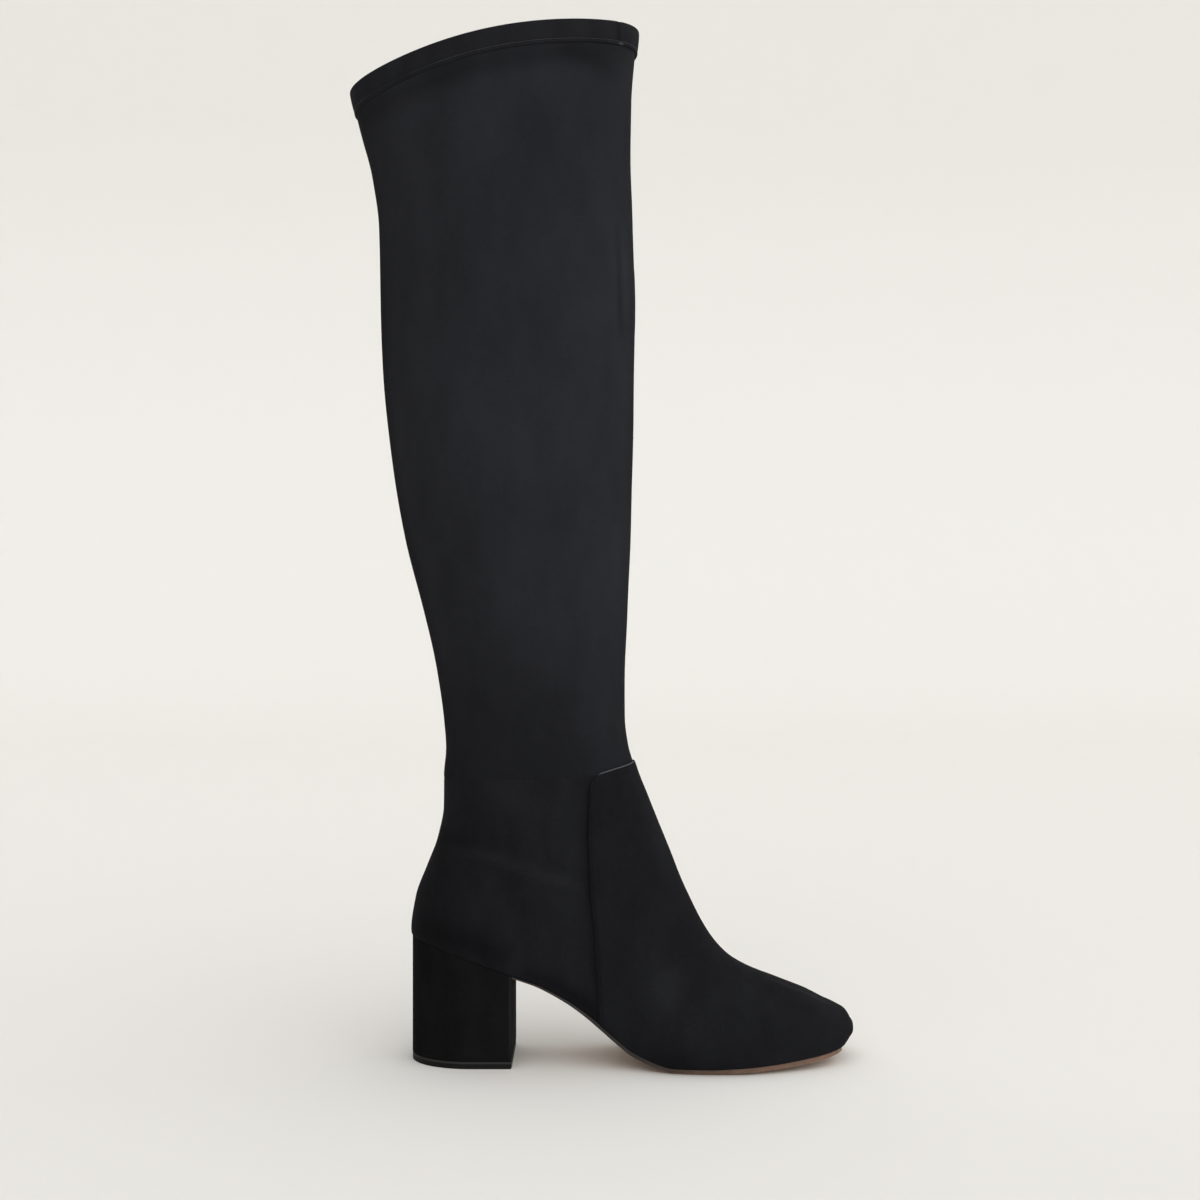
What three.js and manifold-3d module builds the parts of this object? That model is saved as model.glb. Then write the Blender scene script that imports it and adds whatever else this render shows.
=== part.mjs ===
// Thigh high boot for the right foot: a stretch leg over a lasted foot, on a block heel and a thin outsole.
// Millimetres. X runs to the toe, Y to the inner side of the foot, Z up. The origin is on the floor,
// under the middle of the heel.
import * as THREE from 'three';
import { mergeVertices } from 'three/addons/utils/BufferGeometryUtils.js';
import Module from 'manifold-3d';

const wasm = await Module();
wasm.setup();

// Foot
const footLength = 252;
const ballWidth = 80;
const instepHeight = 96;
const heelHeight = 71;
const toeSpring = 6;
// Leg
const legHeight = 511.5;
const legAxis = 24.5;
const calfDepth = 145;
const calfWidth = 90;
const collarArch = 3.4;
// Walls and layers
const wall = 1.6;
const vampThickness = 1;
const bandThickness = 1;
const bandHeight = 13;
const soleThickness = 3;
const soleInset = 0.4;
const insoleThickness = 2.5;
const gap = 0.3;
// Heel
const heelLength = 57.6;
const heelWidth = 54;
const heelRound = 35;
const liftHeight = 4;
const seatOverhang = 1.2;
// Fineness of the faces
const ringSides = 36;
const legStep = 24;

const heelBreast = heelLength / 2;
const footBack = -heelBreast - seatOverhang;
const farOut = 40;
const alongFoot = (share) => footBack + share * footLength;

// Each row of a table becomes an object with the columns' names.
function rowsOf(columns, rows) {
  return rows.map((row) => Object.fromEntries(columns.map((name, i) => [name, row[i]])));
}

// The line under the boot. Along is a share of the foot's length, rise of the heel's height, spring of
// the toe spring and thick of the outsole's thickness. From 0.587 to 0.667 it lies flat on the floor.
const soleRows = rowsOf(['along', 'rise', 'spring', 'thick'], [
  [-0.016, 1.018, 0, 0],
  [0.002, 1.0, 0, 0],
  [0.163, 0.81, 0, 0],
  [0.2325, 0.706, 0, 0.34],
  [0.286, 0.639, 0, 0.45],
  [0.321, 0.576, 0, 0.54],
  [0.357, 0.5, 0, 0.66],
  [0.393, 0.407, 0, 0.8],
  [0.429, 0.303, 0, 0.93],
  [0.464, 0.201, 0, 1],
  [0.496, 0.114, 0, 1],
  [0.528, 0.062, 0, 1],
  [0.556, 0.025, 0, 1],
  [0.587, 0, 0, 1],
  [0.667, 0, 0, 1],
  [0.738, 0, 0.15, 1],
  [0.79, 0, 0.28, 1],
  [0.857, 0, 0.52, 1],
  [0.913, 0, 0.77, 1],
  [0.952, 0, 1, 1],
  [1.03, 0, 1.5, 1],
]);

// Sections of the last, from the toe to the ankle. Each spans from a point on its top line to a point under
// the sole: along as shares of the foot's length, up as shares of the instep height over the sole. Outer and
// inner are half widths, and sway the middle's shift to the inner side, as shares of the ball width. Widest
// is how far up the section is widest, and the powers say how square its lower and upper corners are.
const footRows = rowsOf(
  ['topAlong', 'topUp', 'lowAlong', 'lowUp', 'outer', 'inner', 'sway', 'widest', 'lowPower', 'topPower'],
  [
    [0.993, 0.09, 0.9703, -0.0156, 0.165, 0.165, 0.045, 0.6, 2.4, 2.3],
    [0.989, 0.104, 0.954, -0.0635, 0.215, 0.212, 0.044, 0.6, 2.5, 2.4],
    [0.981, 0.145, 0.9425, -0.09, 0.27, 0.262, 0.0425, 0.5, 2.6, 2.5],
    [0.964, 0.178, 0.9266, -0.11, 0.32, 0.308, 0.04, 0.47, 2.5, 2.6],
    [0.935, 0.229, 0.899, -0.1266, 0.375, 0.357, 0.034, 0.43, 2.5, 2.6],
    [0.893, 0.3, 0.849, -0.135, 0.433, 0.406, 0.025, 0.39, 2.5, 2.5],
    [0.845, 0.365, 0.786, -0.132, 0.487, 0.446, 0.016, 0.37, 2.5, 2.3],
    [0.798, 0.429, 0.71, -0.13, 0.5225, 0.474, 0.01, 0.36, 2.5, 2.15],
    [0.754, 0.489, 0.627, -0.125, 0.525, 0.471, 0.004, 0.38, 2.5, 2.05],
    [0.714, 0.5615, 0.54, -0.15, 0.5, 0.425, 0, 0.4, 2.5, 1.95],
    [0.681, 0.657, 0.4325, -0.227, 0.431, 0.3625, 0, 0.42, 2.4, 1.9],
    [0.652, 0.776, 0.349, -0.175, 0.4, 0.35, 0, 0.43, 2.3, 1.9],
    [0.627, 0.906, 0.238, -0.184, 0.3875, 0.356, 0, 0.43, 2.2, 1.9],
    [0.604, 1.0385, 0.127, -0.193, 0.39, 0.375, 0, 0.42, 2.3, 1.92],
    [0.583, 1.177, 0.032, -0.174, 0.4, 0.3875, 0, 0.42, 2.3, 1.95],
    [0.5615, 1.304, 0.002, 0.017, 0.4125, 0.404, 0, 0.43, 2.3, 1.95],
    [0.544, 1.402, 0.0125, 0.224, 0.429, 0.4225, 0, 0.45, 2.25, 2],
    [0.529, 1.486, 0.0385, 0.434, 0.445, 0.44, 0, 0.46, 2.2, 2],
    [0.517, 1.551, 0.064, 0.633, 0.459, 0.456, 0, 0.47, 2.15, 2],
    [0.5115, 1.583, 0.0755, 0.81, 0.4675, 0.466, 0, 0.47, 2.1, 2],
    [0.5075, 1.609, 0.0755, 0.982, 0.475, 0.475, 0, 0.47, 2.1, 2],
  ],
);

// Sections of the leg, from the ankle to the collar. Back and front are shares of the calf's depth from the
// leg's axis, their heights shares of the leg's height over the heel, half a share of the calf's width, and
// arch a share of the collar's arch at the sides.
const legRows = rowsOf(['back', 'backUp', 'front', 'frontUp', 'half', 'arch'], [
  [-0.236, 0.2053, 0.477, 0.2092, 0.42, 0],
  [-0.2435, 0.2385, 0.4655, 0.2385, 0.417, 0],
  [-0.266, 0.2835, 0.4655, 0.2835, 0.422, 0],
  [-0.326, 0.3597, 0.4755, 0.3597, 0.437, 0],
  [-0.398, 0.4399, 0.488, 0.4399, 0.459, 0],
  [-0.453, 0.5357, 0.4965, 0.5357, 0.483, 0],
  [-0.4835, 0.6276, 0.503, 0.6276, 0.5, 0],
  [-0.4945, 0.7136, 0.504, 0.7175, 0.506, 0],
  [-0.4985, 0.782, 0.495, 0.7937, 0.517, 0],
  [-0.526, 0.8387, 0.4875, 0.8641, 0.533, 0.2],
  [-0.566, 0.8827, 0.4905, 0.9228, 0.55, 0.5],
  [-0.596, 0.9169, 0.503, 0.9697, 0.561, 0.85],
  [-0.6077, 0.9306, 0.513, 0.9985, 0.567, 1],
]);

// Slope at each row that keeps a curve through the rows from swinging past them.
function slopesOf(at, values) {
  const rise = at.slice(1).map((next, i) => (values[i + 1] - values[i]) / (next - at[i]));
  return at.map((place, i) => {
    if (i === 0) return rise[0];
    if (i === at.length - 1) return rise[i - 1];
    if (rise[i - 1] * rise[i] <= 0) return 0;
    return (2 * rise[i - 1] * rise[i]) / (rise[i - 1] + rise[i]);
  });
}

// A smooth curve of one value through a table's rows.
function curveThrough(at, values) {
  const slopes = slopesOf(at, values);
  return (place) => {
    const after = at.findIndex((next) => next > place);
    const i = after < 0 ? at.length - 2 : Math.max(0, after - 1);
    const span = at[i + 1] - at[i];
    const t = (place - at[i]) / span;
    const keep = 1 - t;
    return values[i] * (1 + 2 * t) * keep * keep + slopes[i] * span * t * keep * keep
      + values[i + 1] * t * t * (3 - 2 * t) - slopes[i + 1] * span * t * t * keep;
  };
}

const soleAt = soleRows.map((row) => alongFoot(row.along));
const treadLine = curveThrough(soleAt, soleRows.map((row) => row.rise * heelHeight + row.spring * toeSpring));
const thickLine = curveThrough(soleAt, soleRows.map((row) => row.thick * soleThickness));
// The face that the upper stands on: the top of the outsole and of the heel.
const bedLine = (x) => treadLine(x) + thickLine(x);

// Every section in millimetres, from the toe to the collar.
function sectionOfFoot(row) {
  const topX = alongFoot(row.topAlong);
  const lowX = alongFoot(row.lowAlong);
  return {
    topX,
    topZ: bedLine(topX) + row.topUp * instepHeight,
    lowX,
    lowZ: bedLine(lowX) + row.lowUp * instepHeight,
    outer: row.outer * ballWidth,
    inner: row.inner * ballWidth,
    sway: row.sway * ballWidth,
    widest: row.widest,
    lowPower: row.lowPower,
    topPower: row.topPower,
    arch: 0,
  };
}

function sectionOfLeg(row) {
  return {
    topX: legAxis + row.front * calfDepth,
    topZ: heelHeight + row.frontUp * legHeight,
    lowX: legAxis + row.back * calfDepth,
    lowZ: heelHeight + row.backUp * legHeight,
    outer: row.half * calfWidth,
    inner: row.half * calfWidth,
    sway: 0,
    widest: 0.5,
    lowPower: 2,
    topPower: 2,
    arch: row.arch * collarArch,
  };
}

const sections = [...footRows.map(sectionOfFoot), ...legRows.map(sectionOfLeg)];
const seamRow = footRows.length - 1;
const topRow = sections.length - 1;

// The sections' places along the boot, measured midway between their top and low lines.
const stations = [0];
for (let i = 1; i <= topRow; i += 1) {
  const [a, b] = [sections[i - 1], sections[i]];
  const middleMove = Math.hypot(a.topX + a.lowX - b.topX - b.lowX, a.topZ + a.lowZ - b.topZ - b.lowZ) / 2;
  stations.push(stations[i - 1] + middleMove);
}
const measures = Object.fromEntries(Object.keys(sections[0]).map((name) => (
  [name, curveThrough(stations, sections.map((section) => section[name]))]
)));

// A point on the form. Turn 0 is on the top line, a quarter is the outer side, a half is the low line.
function formPoint(place, turn) {
  const m = Object.fromEntries(Object.entries(measures).map(([name, curve]) => [name, curve(place)]));
  const angle = turn * 2 * Math.PI;
  const [cos, sin] = [Math.cos(angle), Math.sin(angle)];
  const power = cos >= 0 ? m.topPower : m.lowPower;
  const round = (Math.abs(cos) ** power + Math.abs(sin) ** power) ** (1 / power);
  const reach = cos >= 0 ? 1 - m.widest : m.widest;
  const up = m.widest + (cos / round) * reach;
  const side = (-sin / round) * (sin >= 0 ? m.outer : m.inner);
  const [spanX, spanZ] = [m.topX - m.lowX, m.topZ - m.lowZ];
  const length = Math.hypot(spanX, spanZ);
  const lift = m.arch * sin ** 4;
  return new THREE.Vector3(
    m.lowX + up * spanX - (lift * spanZ) / length,
    m.sway + side,
    m.lowZ + up * spanZ + (lift * spanX) / length,
  );
}

// The way out of the form at a point, square to its skin.
function formNormal(place, turn) {
  const small = 0.05;
  const near = Math.max(small, Math.min(stations[topRow] - small, place));
  const along = formPoint(near + small, turn).sub(formPoint(near - small, turn));
  const round = formPoint(near, turn + 0.002).sub(formPoint(near, turn - 0.002));
  return along.cross(round).normalize();
}

// One ring of the form, set out from its skin and moved up by a lift. A flat one stays in its section's plane.
function ringAt(place, out, lift = 0, flat = false) {
  const across = new THREE.Vector3(
    measures.lowZ(place) - measures.topZ(place),
    0,
    measures.topX(place) - measures.lowX(place),
  ).normalize();
  return Array.from({ length: ringSides }, (_, i) => {
    const turn = i / ringSides;
    const way = formNormal(place, turn);
    if (flat) way.addScaledVector(across, -way.dot(across)).normalize();
    const point = formPoint(place, turn).addScaledVector(way, out);
    return point.setZ(point.z + lift);
  });
}

function ringMiddle(ring) {
  return ring.reduce((sum, point) => sum.add(point), new THREE.Vector3()).divideScalar(ring.length);
}

// Places of the rings between two rows, closer on the foot than on the leg.
function placesBetween(firstRow, lastRow) {
  const places = [stations[firstRow]];
  for (let row = firstRow + 1; row <= lastRow; row += 1) {
    const span = stations[row] - stations[row - 1];
    const steps = row > seamRow ? Math.max(1, Math.round(span / legStep)) : 1;
    for (let step = 1; step <= steps; step += 1) {
      places.push(stations[row - 1] + (span * step) / steps);
    }
  }
  return places;
}

function geometryOf(points, triangles) {
  const geometry = new THREE.BufferGeometry();
  geometry.setAttribute('position', new THREE.Float32BufferAttribute(points.flatMap((p) => [p.x, p.y, p.z]), 3));
  geometry.setIndex(triangles.flat());
  return geometry;
}

// Faces between rings that follow each other. A closed run joins its last ring to its first.
function bandsBetween(rings, closed) {
  const triangles = [];
  const runs = closed ? rings.length : rings.length - 1;
  for (let k = 0; k < runs; k += 1) {
    const here = k * ringSides;
    const next = ((k + 1) % rings.length) * ringSides;
    for (let i = 0; i < ringSides; i += 1) {
      const j = (i + 1) % ringSides;
      triangles.push([here + i, next + i, next + j], [here + i, next + j, here + j]);
    }
  }
  return triangles;
}

// A solid skin over rings, closed by a point at each end.
function closedForm(rings, firstPole, lastPole) {
  const points = [...rings.flat(), firstPole, lastPole];
  const triangles = bandsBetween(rings, false);
  const poles = rings.length * ringSides;
  const lastRing = poles - ringSides;
  for (let i = 0; i < ringSides; i += 1) {
    const j = (i + 1) % ringSides;
    triangles.push([poles, i, j], [poles + 1, lastRing + j, lastRing + i]);
  }
  return geometryOf(points, triangles);
}

function ringLoop(rings) {
  return geometryOf(rings.flat(), bandsBetween(rings, true));
}

function solidOf(geometry) {
  const bare = geometry.clone();
  bare.deleteAttribute('normal');
  bare.deleteAttribute('uv');
  const merged = mergeVertices(bare, 1e-4);
  return new wasm.Manifold(new wasm.Mesh({
    numProp: 3,
    vertProperties: new Float32Array(merged.attributes.position.array),
    triVerts: new Uint32Array(merged.index.array),
  }));
}

function geometryFrom(solid) {
  const mesh = solid.getMesh();
  const geometry = new THREE.BufferGeometry();
  geometry.setAttribute('position', new THREE.BufferAttribute(Float32Array.from(mesh.vertProperties), 3));
  geometry.setIndex(Array.from(mesh.triVerts));
  return geometry;
}

// A block with a side outline in X and Z, right across the boot.
function sideBlock(outline) {
  const shape = new THREE.Shape(outline.map(([x, z]) => new THREE.Vector2(x, z)));
  const across = ballWidth + calfWidth + farOut;
  const geometry = new THREE.ExtrudeGeometry(shape, { depth: across, bevelEnabled: false });
  geometry.rotateX(Math.PI / 2);
  geometry.translate(0, across / 2, 0);
  return solidOf(geometry);
}

// A block with an outline in plan, from one height to another.
function planBlock(shape, from, to, curveSegments) {
  const geometry = new THREE.ExtrudeGeometry(shape, { depth: to - from, bevelEnabled: false, curveSegments });
  geometry.translate(0, 0, from);
  return solidOf(geometry);
}

// Points of a line under the boot, between two places on X.
function linePoints(line, fromX, toX, lift) {
  const inside = soleAt.filter((x) => x > fromX + 0.5 && x < toX - 0.5);
  const knots = [fromX, ...inside, toX];
  const points = [];
  knots.forEach((x, i) => {
    points.push([x, line(x) + lift]);
    const next = knots[i + 1];
    const flat = next !== undefined && Math.abs(line(x) - line(next)) < 0.2;
    if (next !== undefined && !flat) points.push([(x + next) / 2, line((x + next) / 2) + lift]);
  });
  return points;
}

// The skin of the foot up to a row, set out from the form, with a blunt toe. A reach carries it past that row.
function footForm(out, lastRow, lift, reach = 0) {
  const places = placesBetween(0, lastRow);
  const rings = places.slice(0, -1).map((place) => ringAt(place, out));
  rings.push(ringAt(stations[lastRow], out, lift, true));
  if (reach > 0) rings.push(rings[rings.length - 1].map((point) => point.clone().setZ(point.z + reach)));
  const toe = sections[0];
  const noseShare = 0.7;
  const crown = 1.6;
  const nose = new THREE.Vector3(
    toe.lowX + noseShare * (toe.topX - toe.lowX) + crown + out,
    toe.sway,
    toe.lowZ + noseShare * (toe.topZ - toe.lowZ),
  );
  return solidOf(closedForm(rings, nose, ringMiddle(rings[rings.length - 1])));
}

// Everything under the boot's bed line, raised by a lift.
function underBed(lift) {
  const [back, front] = [footBack - farOut / 8, soleAt[soleAt.length - 1]];
  return sideBlock([[back, -farOut], [front, -farOut], ...linePoints(bedLine, back, front, lift).reverse()]);
}

// Foot part: one hollow wall, open at the ankle and along its feather line.
function makeUpper() {
  const skin = footForm(0, seamRow, -gap / 2);
  const room = footForm(-wall, seamRow, 0, farOut / 8);
  return geometryFrom(skin.subtract(room).subtract(underBed(gap)));
}

// Stretch leg: a tube with a real wall from the ankle seam to the collar.
function makeShaft() {
  const places = placesBetween(seamRow, topRow).slice(1, -1);
  const skinAt = (out) => [
    ringAt(stations[seamRow], out, gap / 2, true),
    ...places.map((place) => ringAt(place, out)),
    ringAt(stations[topRow], out, 0, true),
  ];
  return ringLoop([...skinAt(0), ...skinAt(-wall).reverse()]);
}

// A ring of the leg at an even distance below its top edge, set out from its skin.
function ringBelowTop(drop, out) {
  const top = stations[topRow];
  return Array.from({ length: ringSides }, (_, i) => {
    const turn = i / ringSides;
    const pace = formPoint(top, turn).distanceTo(formPoint(top - drop, turn)) / drop;
    const place = top - drop / pace;
    return formPoint(place, turn).addScaledVector(formNormal(place, turn), out);
  });
}

// Folded band over the collar: a strip outside, a strip inside and the fold between them.
function makeBand() {
  const top = stations[topRow];
  const outRest = gap;
  const outSkin = gap + bandThickness;
  const inRest = -wall - gap;
  const inSkin = -wall - gap - bandThickness;
  const fold = bandThickness * 0.35;
  const overTop = gap + bandThickness;
  const low = bandHeight - overTop;
  const middle = low / 2;
  return ringLoop([
    ringBelowTop(low, outSkin),
    ringBelowTop(middle, outSkin),
    ringAt(top, outSkin, gap, true),
    ringAt(top, outSkin - fold, overTop, true),
    ringAt(top, inSkin + fold, overTop, true),
    ringAt(top, inSkin, gap, true),
    ringBelowTop(middle, inSkin),
    ringBelowTop(low, inSkin),
    ringBelowTop(low, inRest),
    ringBelowTop(middle, inRest),
    ringAt(top, inRest, gap, true),
    ringAt(top, outRest, gap, true),
    ringBelowTop(middle, outRest),
    ringBelowTop(low, outRest),
  ]);
}

// The vamp's cut edge seen from the side, from the instep down to the feather line. Along is a share of the
// foot's length, up of the instep height over the sole.
const vampRows = rowsOf(['along', 'up'], [
  [0.6, 1.79],
  [0.506, 1.655],
  [0.421, 1.436],
  [0.41, 1.4],
  [0.4045, 1.352],
  [0.4015, 1.06],
  [0.406, 0.73],
  [0.4145, 0.53],
  [0.421, 0.3],
  [0.4275, 0.08],
  [0.43, -0.15],
]);

// Outer panel over the toe and instep, clear of the wall under it.
function makeVamp() {
  const edge = vampRows.map(({ along, up }) => {
    const x = alongFoot(along);
    return [x, bedLine(x) + up * instepHeight];
  });
  const front = footBack + footLength + farOut;
  const region = sideBlock([...edge, [front, -farOut], [front, edge[0][1]]]);
  const overRow = seamRow + 2;
  const outside = footForm(gap + vampThickness, overRow, 0);
  const inside = footForm(gap, overRow, 0, farOut / 8);
  return geometryFrom(outside.subtract(inside).intersect(region).subtract(underBed(gap)));
}

// Where a section's side meets the bed line: the boot's feather line.
function featherPoint(place, side) {
  let [high, low] = [0.25, 0.5];
  for (let i = 0; i < 40; i += 1) {
    const middle = (high + low) / 2;
    const point = formPoint(place, side * middle);
    if (point.z > bedLine(point.x)) high = middle;
    else low = middle;
  }
  return formPoint(place, side * low);
}

// Plan of the outsole: the feather line drawn in a little, from the heel's breast round the toe.
function soleShape() {
  const places = placesBetween(0, seamRow).flatMap((place, i, all) => (
    i === 0 ? [place] : [(all[i - 1] + place) / 2, place]
  ));
  const sideOf = (side) => {
    const points = places.map((place) => featherPoint(place, side));
    const first = points.findIndex((point) => point.x < heelBreast);
    return points.slice(0, first + 1).map((point) => (
      new THREE.Vector2(point.x - (point.x > footBack + 0.95 * footLength ? soleInset : 0),
        point.y - Math.sign(point.y) * soleInset)
    ));
  };
  return new THREE.Shape([...sideOf(1).reverse(), ...sideOf(-1)]);
}

// Thin outsole from the breast of the heel to the toe.
function makeOutsole() {
  const front = soleAt[soleAt.length - 1];
  const start = heelBreast + gap;
  const unit = sideBlock([
    ...linePoints(treadLine, start, front, 0),
    ...linePoints(bedLine, start, front, 0).reverse(),
  ]);
  return geometryFrom(unit.intersect(planBlock(soleShape(), -farOut, heelHeight + farOut, 1)));
}

// Board and sock inside the upper, on the outsole and the heel.
function makeInsole() {
  const room = footForm(-wall - gap, seamRow, 0);
  const [back, front] = [footBack - farOut / 8, soleAt[soleAt.length - 1]];
  const board = sideBlock([
    ...linePoints(bedLine, back, front, gap),
    ...linePoints(bedLine, back, front, gap + insoleThickness).reverse(),
  ]);
  return geometryFrom(room.intersect(board));
}

// Plan of the heel: a straight breast, straight sides and a rounded back.
function heelShape(inset) {
  const half = heelWidth / 2 - inset;
  const roundStart = -heelBreast + heelRound;
  const shape = new THREE.Shape();
  shape.moveTo(roundStart, half);
  shape.absellipse(roundStart, 0, heelRound - inset, half, Math.PI / 2, Math.PI * 1.5, false, 0);
  shape.lineTo(heelBreast - inset, -half);
  shape.lineTo(heelBreast - inset, half);
  shape.closePath();
  return shape;
}

// Wrapped block, its top cut to the slope of the seat.
function makeHeel() {
  const block = planBlock(heelShape(0), liftHeight, heelHeight + farOut, 28);
  return geometryFrom(block.intersect(underBed(0)));
}

// Thin tip under the heel.
function makeTopLift() {
  const liftInset = 0.25;
  return geometryFrom(planBlock(heelShape(liftInset), 0, liftHeight, 28));
}

// Looks of the materials, from the photograph.
const suede = { color: 0x242528, roughness: 0.95, metalness: 0 };
const legCloth = { color: 0x27282b, roughness: 0.92, metalness: 0 };
const tanUnit = { color: 0x5a4536, roughness: 0.6, metalness: 0 };
const liftRubber = { color: 0x1c1b1b, roughness: 0.55, metalness: 0 };
const sockCloth = { color: 0x2b2725, roughness: 0.8, metalness: 0 };

const group = new THREE.Group();
function addPiece(name, geometry, look) {
  geometry.computeVertexNormals();
  const piece = new THREE.Mesh(geometry, new THREE.MeshStandardMaterial(look));
  piece.name = name;
  group.add(piece);
}

addPiece('outsole', makeOutsole(), tanUnit);
addPiece('insole', makeInsole(), sockCloth);
addPiece('upper', makeUpper(), suede);
addPiece('vamp', makeVamp(), suede);
addPiece('shaft', makeShaft(), legCloth);
addPiece('collar_band', makeBand(), legCloth);
addPiece('heel', makeHeel(), suede);
addPiece('top_lift', makeTopLift(), liftRubber);

export default group;
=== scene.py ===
"""Thigh high boot in black faux suede, dressed for a studio picture.

The boot stands on its block heel and thin outsole, toe towards +X and its outer side towards -Y. The
form of the last is worked out from the same sizes and tables as its solids, and every visible piece is
a fine skin over that form. Sizes are in millimetres, and meshes in metres.
"""

from __future__ import annotations

import logging
import math
from dataclasses import dataclass, field
from enum import Enum
from typing import Any, Callable, Sequence

import bmesh
import bpy
import numpy as np
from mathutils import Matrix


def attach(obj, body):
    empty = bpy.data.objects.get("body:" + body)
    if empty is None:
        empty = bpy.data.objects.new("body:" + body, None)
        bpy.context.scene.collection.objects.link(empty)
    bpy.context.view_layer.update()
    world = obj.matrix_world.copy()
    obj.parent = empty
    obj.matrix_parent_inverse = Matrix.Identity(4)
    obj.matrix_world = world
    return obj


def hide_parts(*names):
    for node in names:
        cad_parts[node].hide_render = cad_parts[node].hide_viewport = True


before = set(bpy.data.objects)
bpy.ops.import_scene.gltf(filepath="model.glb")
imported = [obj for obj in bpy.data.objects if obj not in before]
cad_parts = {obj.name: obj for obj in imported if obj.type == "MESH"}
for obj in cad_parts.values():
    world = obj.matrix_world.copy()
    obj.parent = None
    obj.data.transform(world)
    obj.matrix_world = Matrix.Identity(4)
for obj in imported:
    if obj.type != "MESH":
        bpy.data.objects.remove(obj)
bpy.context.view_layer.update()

MM = 0.001
LOG = logging.getLogger("boot")
Line = tuple[tuple[float, ...], ...]
Faces = list[list[int]]
Places = float | np.ndarray
Piece, Material, Tree = bpy.types.Object, bpy.types.Material, bpy.types.NodeTree
Socket = bpy.types.NodeSocket


class Side(Enum):
    """Which side of the foot a seam or fold lies on."""

    OUTER = 1
    INNER = -1
    BOTH = 0


class Finish(Enum):
    """The record's material slots."""

    SUEDE = "faux_suede"
    STRETCH = "stretch_suede"
    SOLE = "outsole_tan"
    LIFT = "lift_rubber"


def linear(colour: str) -> tuple[float, float, float, float]:
    """Turn an sRGB hex colour into linear values.

    Args:
        colour: Six hex digits after a hash.

    Returns:
        Red, green, blue and an alpha of one.
    """
    values = [int(colour[i : i + 2], 16) / 255 for i in (1, 3, 5)]
    parts = [v / 12.92 if v <= 0.04045 else ((v + 0.055) / 1.055) ** 2.4 for v in values]
    return parts[0], parts[1], parts[2], 1.0


def add_node(tree: Tree, kind: str, inputs: dict | None = None, out: Any = 0, **settings: Any) -> Any:
    """Add a node with its settings, values and links.

    Args:
        tree: Node tree that takes the node.
        kind: Blender's name for the node's type.
        inputs: Values or output sockets by input name or index.
        out: Name or index of the output that is wanted, if any.
        settings: Attributes of the node.

    Returns:
        The output socket, or the node's outputs where none is named.
    """
    made = tree.nodes.new(kind)
    for name, value in settings.items():
        setattr(made, name, value)
    for name, value in (inputs or {}).items():
        if isinstance(value, Socket):
            tree.links.new(value, made.inputs[name])
        else:
            made.inputs[name].default_value = value
    return made.outputs if out is None else made.outputs[out]


# Sizes and tables of the last


@dataclass(frozen=True)
class Sizes:
    """Sizes of the boot in millimetres.

    Args:
        instep_height: Height over the sole that the foot's sections are shares of.
        leg_axis: Place on X of the leg's middle.
        collar_arch: How far the collar rises at the sides over its front and back.
        gap: Clearance between neighbouring pieces.
        overhang: How far the counter stands out behind the heel.
    """

    foot_length: float = 252
    ball_width: float = 80
    instep_height: float = 96
    heel_height: float = 71
    toe_spring: float = 6
    leg_height: float = 511.5
    leg_axis: float = 24.5
    calf_depth: float = 145
    calf_width: float = 90
    collar_arch: float = 3.4
    wall: float = 1.6
    vamp: float = 1.0
    band: float = 1.0
    band_height: float = 13.0
    sole: float = 3.0
    gap: float = 0.3
    heel_length: float = 57.6
    heel_width: float = 54
    heel_round: float = 35
    lift: float = 4
    overhang: float = 1.2

    @property
    def heel_breast(self) -> float:
        """Distance from the origin to the front of the heel."""
        return self.heel_length / 2

    def along(self, share: float) -> float:
        """Place on X for a share of the foot's length from its hindmost point."""
        return share * self.foot_length - self.heel_breast - self.overhang


SOLE_COLUMNS = ("along", "rise", "spring", "thick")
SOLE_ROWS = (
    (-0.016, 1.018, 0, 0),
    (0.002, 1.0, 0, 0),
    (0.163, 0.81, 0, 0),
    (0.2325, 0.706, 0, 0.34),
    (0.286, 0.639, 0, 0.45),
    (0.321, 0.576, 0, 0.54),
    (0.357, 0.5, 0, 0.66),
    (0.393, 0.407, 0, 0.8),
    (0.429, 0.303, 0, 0.93),
    (0.464, 0.201, 0, 1),
    (0.496, 0.114, 0, 1),
    (0.528, 0.062, 0, 1),
    (0.556, 0.025, 0, 1),
    (0.587, 0, 0, 1),
    (0.667, 0, 0, 1),
    (0.738, 0, 0.15, 1),
    (0.79, 0, 0.28, 1),
    (0.857, 0, 0.52, 1),
    (0.913, 0, 0.77, 1),
    (0.952, 0, 1, 1),
    (1.03, 0, 1.5, 1),
)

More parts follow.
